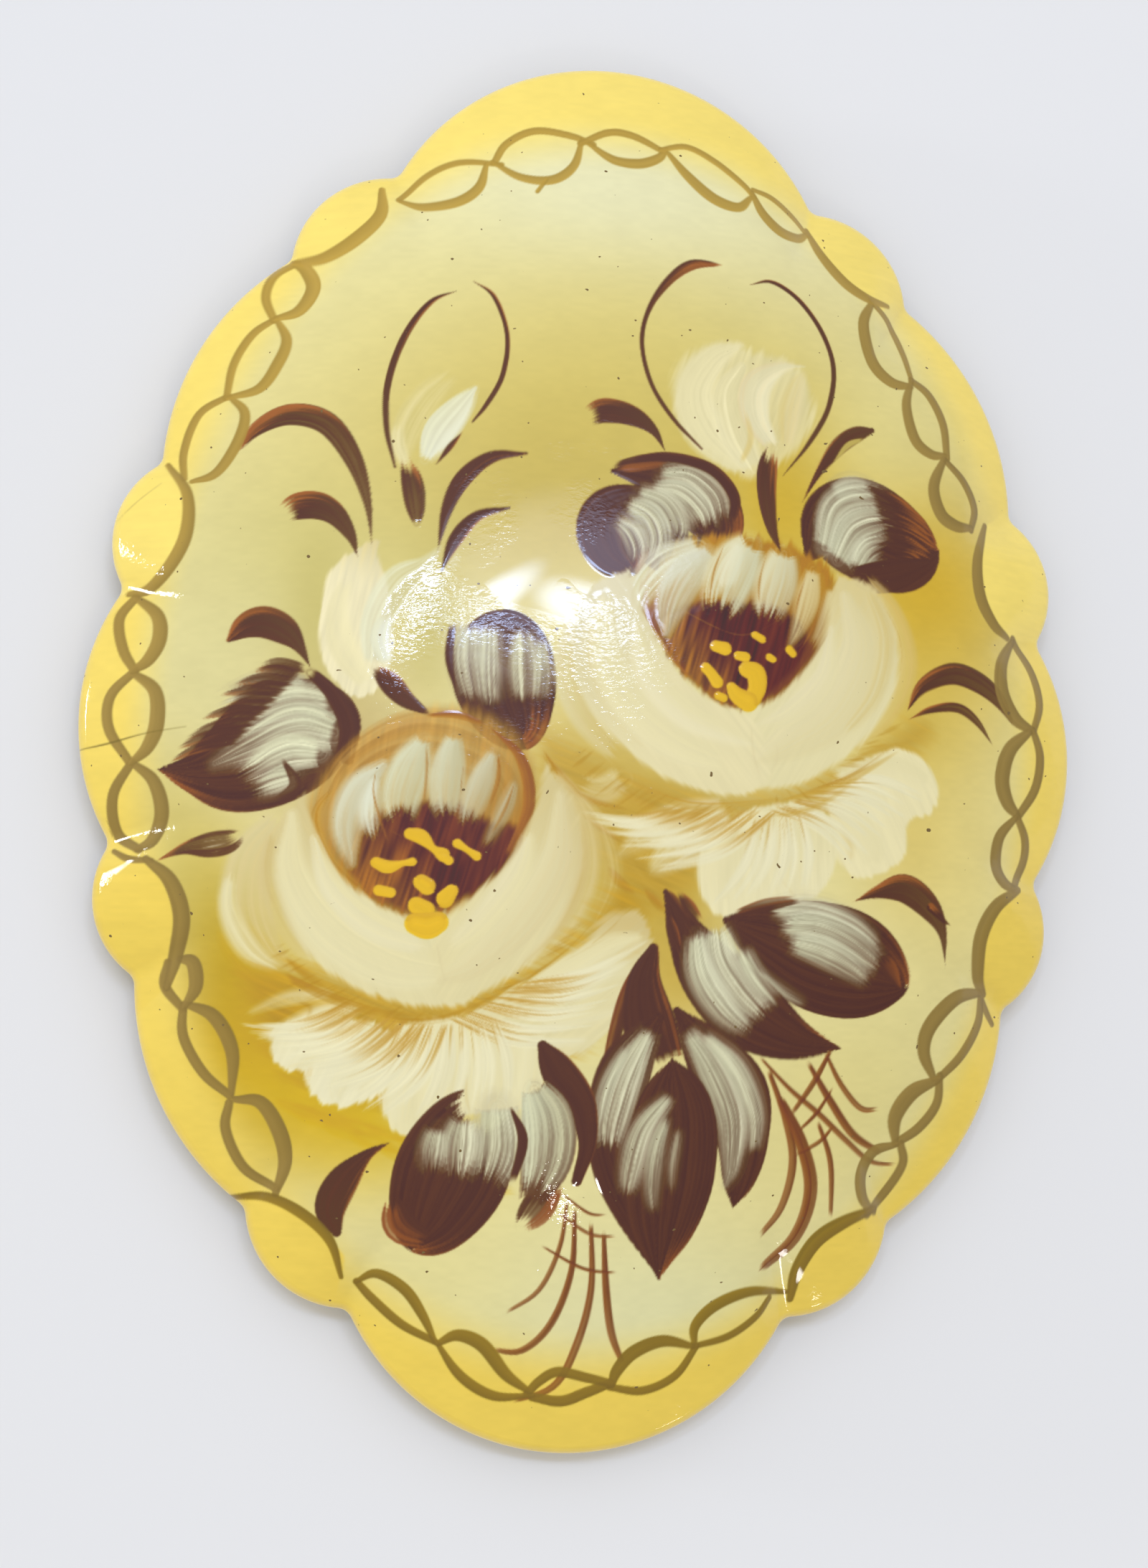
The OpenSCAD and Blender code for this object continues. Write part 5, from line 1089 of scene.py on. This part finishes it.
def edge_ring(turn, angle):
    a = math.radians(angle)
    r = reach(turn) - EDGE * (1 - math.cos(a))
    return np.stack([r * np.cos(turn), r * np.sin(turn),
        np.full(len(turn), RIM + EDGE * (1 + math.sin(a)))], -1)


def height_at(x, y):
    """Height of the front over a point well inside the rim."""
    s = math.hypot(x / EVEN_A, y / EVEN_B)
    rim_z = RIM + EDGE * (1 + math.sin(math.radians(EDGE_START)))
    return rim_z + (CROWN - rim_z) * (1 - s**POWER)


def mesh_from(name, co, quads, tris=None):
    """A mesh from arrays of millimetre points, quads and triangles."""
    me = bpy.data.meshes.new(name)
    tris = np.zeros((0, 3), int) if tris is None else tris
    loops = np.concatenate([quads.ravel(), tris.ravel()]).astype(np.int32)
    starts = np.concatenate([np.arange(len(quads)) * 4,
        4 * len(quads) + np.arange(len(tris)) * 3]).astype(np.int32)
    me.vertices.add(len(co))
    me.vertices.foreach_set("co", (co * MM).astype(np.float32).ravel())
    me.loops.add(len(loops))
    me.loops.foreach_set("vertex_index", loops)
    me.polygons.add(len(starts))
    me.polygons.foreach_set("loop_start", starts)
    me.polygons.foreach_set("use_smooth", np.ones(len(starts), bool))
    me.update(calc_edges=True)
    me.validate()
    ob = bpy.data.objects.new(name, me)
    bpy.context.scene.collection.objects.link(ob)
    return ob


def ring_quads(first, second):
    a, b = np.asarray(first), np.asarray(second)
    return np.stack([a, b, np.roll(b, -1), np.roll(a, -1)], -1)


def add_colours(ob, name, rgb):
    """Vertex colours, given as sRGB 0 to 1."""
    rgb = np.clip(rgb, 0, 1)
    linear = np.where(rgb <= 0.04045, rgb / 12.92, ((rgb + 0.055) / 1.055) ** 2.4)
    linear = np.maximum(1.03 * linear - 0.024, 0.004)  # the shine of the lacquer adds this much again
    layer = ob.data.color_attributes.new(name, "FLOAT_COLOR", "POINT")
    layer.data.foreach_set("color", np.concatenate([linear, np.ones((len(linear), 1))],
        1).astype(np.float32).ravel())


def flat_map(ob, co):
    """A map straight down onto the painting, named OFBake."""
    uv = ob.data.uv_layers.new(name="OFBake")
    index = np.zeros(len(ob.data.loops), np.int32)
    ob.data.loops.foreach_get("vertex_index", index)
    uv.data.foreach_set("uv", (0.5 + 0.985 * co[index][:, :2] / (WIDTH + 0.4,
        LENGTH + 0.4)).astype(np.float32).ravel())


DOTS = 18
GRID = ((860, 1160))
OVER_EDGE = [EDGE_START - k * 7.5 for k in range(1, 15)]


def build_front():
    """The painted front: a fine grid over the dome, and the rim rolled over to just under its widest line."""
    nx, ny = GRID
    a, b = np.meshgrid(np.linspace(-1, 1, nx), np.linspace(-1, 1, ny))
    wide = np.abs(a) > np.abs(b)
    with np.errstate(divide="ignore", invalid="ignore"):
        phi = np.where(wide, math.pi / 4 * np.where(wide, b / a, 0),
            math.pi / 2 - math.pi / 4 * np.where(wide, 0, a / b))
    r = np.where(wide, a, b)
    r[(a == 0) & (b == 0)] = 0
    phi = np.nan_to_num(phi)
    dx, dy = r * np.cos(phi), r * np.sin(phi)
    turn = np.arctan2(EVEN_B * dy, EVEN_A * dx)
    s = np.clip(np.hypot(dx, dy), 0, 1)
    co = np.stack(top_surface(turn, s), -1).reshape(-1, 3)
    index = np.arange(nx * ny).reshape(ny, nx)
    quads = np.stack([index[:-1, :-1], index[:-1, 1:], index[1:, 1:], index[1:, :-1]], -1).reshape(-1, 4)
    loop = np.concatenate([index[0, :-1], index[:-1, -1], index[-1, :0:-1], index[:0:-1, 0]])
    turns = turn.ravel()[loop]
    rings, last = [co], loop
    all_quads = [quads]
    for k, angle in enumerate(OVER_EDGE):
        rings.append(edge_ring(turns, angle))
        now = nx * ny + k * len(loop) + np.arange(len(loop))
        all_quads.append(ring_quads(last, now))
        last = now
    co = np.concatenate(rings)
    cv = Canvas(DOTS)
    paint_front(cv)
    lift = soften(cv.lift, 0.05 * DOTS)
    px = np.clip((co[:, 0] + CANVAS_X) * DOTS - 0.5, 0, cv.x.shape[1] - 1.001)
    py = np.clip((co[:, 1] + CANVAS_Y) * DOTS - 0.5, 0, cv.x.shape[0] - 1.001)
    i, j = px.astype(int), py.astype(int)
    fx, fy = (px - i)[:, None], (py - j)[:, None]

    def read(field):
        f = field.reshape(field.shape[0], field.shape[1], -1)
        return (f[j, i] * (1 - fx) + f[j, i + 1] * fx) * (1 - fy) + (f[j + 1, i] * (1 - fx) + f[j + 1,
            i + 1] * fx) * fy

    rgb = read(cv.rgb)
    n = nx * ny
    co[:n, 2] += 0.016 * read(lift)[:n, 0] * ramp(1.0, 0.94, s.ravel())
    ob = mesh_from("painted_front", co, np.concatenate(all_quads))
    add_colours(ob, "paint", rgb)
    flat_map(ob, co)
    return ob


def soften(field, sigma):
    """A Gaussian blur along both ways."""
    k = np.arange(-int(3 * sigma) - 1, int(3 * sigma) + 2)
    g = np.exp(-(k**2) / (2 * sigma * sigma))
    g /= g.sum()
    out = sum(w * np.roll(field, d, 0) for d, w in zip(k, g))
    return sum(w * np.roll(out, d, 1) for d, w in zip(k, g))


def build_back():
    """The black-lacquered back: the rim's underside, the land and the hollow."""
    n = 1440
    turns = np.linspace(-math.pi, math.pi, n, endpoint=False)
    c, d = np.cos(turns), np.sin(turns)
    rings = [edge_ring(turns, OVER_EDGE[-1] + 0.01)] + [edge_ring(turns, a) for a in (-60, -70, -80, -90)]
    inner = 1 / np.hypot(c / (NOTCH_A - LAND), d / (NOTCH_B - LAND))
    outer = reach(turns) - EDGE
    for t in (0.25, 0.5, 0.75):
        q = outer * (1 - t) + inner * t
        rings.append(np.stack([q * c, q * d, np.full(n, RIM)], -1))
    for s in np.concatenate([np.linspace(1, 0.9, 9), np.linspace(0.88, 0.02, 60)]):
        rings.append(np.stack([s * inner * c, s * inner * d, np.full(n, RIM + RISE * (1 - s**POWER))], -1))
    co = np.concatenate(rings + [np.array([[0, 0, RIM + RISE]])])
    quads = np.concatenate([ring_quads(np.arange(k * n, k * n + n),
        np.arange(k * n + n, k * n + 2 * n)) for k in range(len(rings) - 1)])
    last = np.arange((len(rings) - 1) * n, len(rings) * n)
    tris = np.stack([last, np.full(n, len(co) - 1), np.roll(last, -1)], -1)
    return mesh_from("lacquered_back", co, quads, tris)


# ---- Materials ----
class Nodes:
    """A short way to build a node material."""

    def __init__(self, name):
        self.mat = bpy.data.materials.new(name)
        self.mat.use_nodes = True
        self.tree = self.mat.node_tree
        self.bsdf = self.tree.nodes["Principled BSDF"]

    def add(self, kind, **sockets):
        node = self.tree.nodes.new(kind)
        for key, value in sockets.items():
            self.put(node, key.replace("_", " "), value)
        return node

    def put(self, node, key, value):
        socket = node.inputs[int(key)] if key.isdigit() else node.inputs[key]
        if isinstance(value, bpy.types.NodeSocket):
            self.tree.links.new(value, socket)
        else:
            socket.default_value = value

    def shade(self, **sockets):
        for key, value in sockets.items():
            self.put(self.bsdf, key.replace("_", " "), value)

    def noise(self, scale, detail=3.0, rough=0.5, stretch=None):
        at = self.add("ShaderNodeTexCoord").outputs["Object"]
        if stretch:
            at = self.add("ShaderNodeMapping", Vector=at, Scale=stretch).outputs["Vector"]
        return self.add("ShaderNodeTexNoise", Vector=at, Scale=scale, Detail=detail,
            Roughness=rough).outputs["Fac"]

    def curve(self, value, lo, hi, out_lo=0.0, out_hi=1.0):
        node = self.add("ShaderNodeMapRange", Value=value)
        for key, v in (("From Min", lo), ("From Max", hi), ("To Min", out_lo), ("To Max", out_hi)):
            node.inputs[key].default_value = v
        return node.outputs["Result"]

    def mix(self, factor, a, b):
        node = self.add("ShaderNodeMix")
        node.data_type = "RGBA"
        for key, value in ((0, factor), (6, a), (7, b)):
            if isinstance(value, bpy.types.NodeSocket):
                self.tree.links.new(value, node.inputs[key])
            else:
                node.inputs[key].default_value = value
        return node.outputs[2]

    def bump(self, height, strength, distance):
        return self.add("ShaderNodeBump", Height=height, Strength=strength,
            Distance=distance).outputs["Normal"]


def srgb(r, g, b):
    return tuple(c / 12.92 if c <= 0.04045 else ((c + 0.055) / 1.055) ** 2.4 for c in (r / 255, g / 255,
        b / 255)) + (1.0,)


def lacquer_paint():
    """Paint under a thick clear lacquer with slow waves and a few specks of dust."""
    m = Nodes("painted_lacquer")
    paint = m.add("ShaderNodeVertexColor")
    paint.layer_name = "paint"
    specks = m.curve(m.noise(3200, 0.0), 0.85, 0.88)
    colour = m.mix(specks, paint.outputs["Color"], srgb(112, 88, 44))
    m.shade(Base_Color=colour, Roughness=0.5, IOR=1.5, Specular_IOR_Level=0.12, Coat_Weight=1.0,
        Coat_Roughness=0.035, Coat_IOR=1.38)
    ripple = m.curve(m.noise(2300, 2.0, 0.6, (1, 1.7, 1)), 0, 1, 0, 0.75)
    patches = m.curve(m.noise(300, 1.0), 0.42, 0.6)
    height = m.add("ShaderNodeMath")
    height.operation = "MULTIPLY_ADD"
    for key, value in (("0", ripple), ("1", patches), ("2", m.noise(130, 2.0))):
        m.put(height, key, value)
    m.shade(Coat_Normal=m.bump(height.outputs[0], 0.35, 0.00006))
    return m.mat


def black_lacquer():
    """Near-black lacquer with a faint unevenness."""
    m = Nodes("black_lacquer")
    tone = m.mix(m.curve(m.noise(420, 4.0), 0.3, 0.7), srgb(8, 6, 5), srgb(17, 13, 11))
    m.shade(Base_Color=tone, Roughness=0.4, Coat_Weight=0.6, Coat_Roughness=0.1)
    m.shade(Coat_Normal=m.bump(m.noise(260, 3.0), 0.5, 0.0001))
    return m.mat


def plated(name, low, high, rough, stretch, worn):
    """Nickel or brass plate with fine drawing marks, and dull stains where it is worn."""
    m = Nodes(name)
    stain = m.curve(m.noise(520, 4.0, 0.6), 0.45, 0.68)
    colour = m.mix(stain, srgb(*high), srgb(*low))
    marks = m.noise(900, 3.0, 0.6, stretch)
    m.shade(Base_Color=colour, Metallic=1.0)
    m.shade(Roughness=m.curve(stain, 0, 1, rough, rough + worn), Normal=m.bump(marks, 0.25, 0.00004))
    return m.mat


def putty():
    """Dull dark filler with a rough surface."""
    m = Nodes("putty")
    m.shade(Base_Color=m.mix(m.noise(700, 4.0), srgb(38, 30, 26), srgb(62, 50, 42)), Roughness=0.75)
    m.shade(Normal=m.bump(m.noise(1400, 4.0), 0.7, 0.00015))
    return m.mat


def set_material(ob, mat):
    ob.data.materials.clear()
    ob.data.materials.append(mat)


painted = lacquer_paint()
front = build_front()
set_material(front, painted)
back = build_back()
set_material(back, black_lacquer())
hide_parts("body")
for piece, slot in ((front, "painted_lacquer"), (back, "painted_lacquer")):
    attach(piece, "brooch")

CREASE = math.radians(32)
steel = plated("nickel_plate", (132, 126, 116), (206, 202, 194), 0.2, (1, 12, 12), 0.25)
wire = plated("pin_wire", (150, 146, 138), (214, 211, 205), 0.14, (1, 14, 14), 0.15)
brass = plated("brass", (120, 92, 46), (204, 166, 92), 0.24, (1, 1, 1), 0.25)
finish = {
    "pin_bar": steel, "hinge_bracket": steel, "catch_collar": steel, "catch_roller": steel,
    "pin_stem": wire,
    "hinge_rivet": brass, "tack_left": brass, "tack_right": brass, "mounting_bed": putty(), "body": painted,
}
for name, mat in finish.items():
    set_material(nodes[name], mat)
    if name != "body":
        for p in nodes[name].data.polygons:
            p.use_smooth = True
        nodes[name].data.set_sharp_from_angle(angle=CREASE)

# ---- Floor, light and camera ----
FAR = 900.0
corners = np.array([[-FAR, -FAR, 0], [FAR, -FAR, 0], [FAR, FAR, 0], [-FAR, FAR, 0]])
floor = mesh_from("floor", corners, np.array([[0, 1, 2, 3]]))
fm = Nodes("floor")
fm.shade(Base_Color=srgb(226, 224, 220), Roughness=0.85)
set_material(floor, fm.mat)

world = bpy.data.worlds.new("studio")
bpy.context.scene.world = world
world.use_nodes = True
tree = world.node_tree
way = tree.nodes.new("ShaderNodeTexCoord")
dot = tree.nodes.new("ShaderNodeVectorMath")
dot.operation = "DOT_PRODUCT"
dot.inputs[1].default_value = (-0.35, 0.30, 0.89)
span = tree.nodes.new("ShaderNodeMapRange")
span.inputs["From Min"].default_value, span.inputs["To Min"].default_value = -0.2, 0.46
span.inputs["To Max"].default_value = 0.98
tree.links.new(way.outputs["Generated"], dot.inputs[0])
tree.links.new(dot.outputs["Value"], span.inputs["Value"])
tree.links.new(span.outputs["Result"], tree.nodes["Background"].inputs["Strength"])
tree.nodes["Background"].inputs["Color"].default_value = (1.0, 0.985, 0.955, 1)

EYE = Vector((-19.21, -16.30, 129.26))
SIDE_LAMP_AWAY = 0.6  # metres


def surface_normal(x, y):
    e = 0.2
    gx = (height_at(x + e, y) - height_at(x - e, y)) / (2 * e)
    gy = (height_at(x, y + e) - height_at(x, y - e)) / (2 * e)
    return Vector((-gx, -gy, 1)).normalized()


def soft_edges(data):
    """The light fades towards its edges, like a window through thin curtains."""
    data.use_nodes = True
    tree = data.node_tree
    at = tree.nodes.new("ShaderNodeNewGeometry")
    off = tree.nodes.new("ShaderNodeVectorMath")
    off.operation = "DISTANCE"
    off.inputs[1].default_value = (0.5, 0.5, 0)
    fade = tree.nodes.new("ShaderNodeMapRange")
    fade.interpolation_type = "SMOOTHSTEP"
    fade.inputs["From Min"].default_value, fade.inputs["From Max"].default_value = 0.5, 0.2
    tree.links.new(at.outputs["Parametric"], off.inputs[0])
    tree.links.new(off.outputs["Value"], fade.inputs["Value"])
    tree.links.new(fade.outputs["Result"], tree.nodes["Emission"].inputs["Strength"])


def area_light(name, size, glare, colour, place, facing):
    """A soft rectangular light; glare is its radiance."""
    data = bpy.data.lights.new(name, "AREA")
    data.shape = "RECTANGLE"
    data.size, data.size_y = size[0] * MM, size[1] * MM
    data.energy = glare * math.pi * data.size * data.size_y
    data.color = colour
    soft_edges(data)
    ob = bpy.data.objects.new(name, data)
    ob.location = place
    ob.rotation_euler = facing.to_euler()
    bpy.context.scene.collection.objects.link(ob)


def side_lamp(name, direction, size, glare, colour):
    """An area light far out in a direction from the middle of the brooch."""
    way = Vector(direction).normalized()
    area_light(name, size, glare, colour, way * SIDE_LAMP_AWAY, (-way).to_track_quat("-Z", "Y"))


def lamp(name, x, y, distance, size, glare, colour, turn=0.0):
    """An area light placed where the eye sees its reflection at x, y on the dome."""
    at = Vector((x, y, height_at(x, y)))
    n = surface_normal(x, y)
    look = (at - EYE).normalized()
    way = look - 2 * look.dot(n) * n
    spin = Matrix.Rotation(math.radians(turn), 3, "Z").to_quaternion()
    area_light(name, size, glare, colour, (at + way * distance) * MM,
        (-way).to_track_quat("-Z", "Y") @ spin)


lamp("window_left", -10.0, 5.6, 620, (140, 50), 42, (0.50, 0.66, 1.0), -8)
lamp("window_middle", -6.6, 5.7, 620, (180, 50), 28, (0.48, 0.64, 1.0), 2)
lamp("window_right", -1.6, 5.8, 620, (165, 52), 28, (0.50, 0.66, 1.0), 8)
lamp("window_haze", -4.4, 7.4, 625, (470, 210), 4.6, (0.62, 0.70, 1.0), 4)
lamp("bulb", -1.3, -24.6, 500, (24, 30), 80, (1.0, 0.96, 0.88))
side_lamp("left_window", (-0.96, 0.12, 0.13), (150, 60), 44, (0.92, 0.96, 1.0))
side_lamp("right_lamp", (0.5, -0.85, 0.2), (60, 60), 24, (1.0, 0.97, 0.92))

data = bpy.data.cameras.new("camera")
data.sensor_fit = "VERTICAL"
data.sensor_height = 36.0
data.lens = 54.35
data.clip_start, data.clip_end = 0.01, 10
camera = bpy.data.objects.new("camera", data)
camera.location = EYE * MM
camera.rotation_euler = (math.radians(5.892), math.radians(-8.530), math.radians(2.035))
bpy.context.scene.collection.objects.link(camera)
bpy.context.scene.camera = camera
bpy.context.scene.view_settings.view_transform = "Standard"
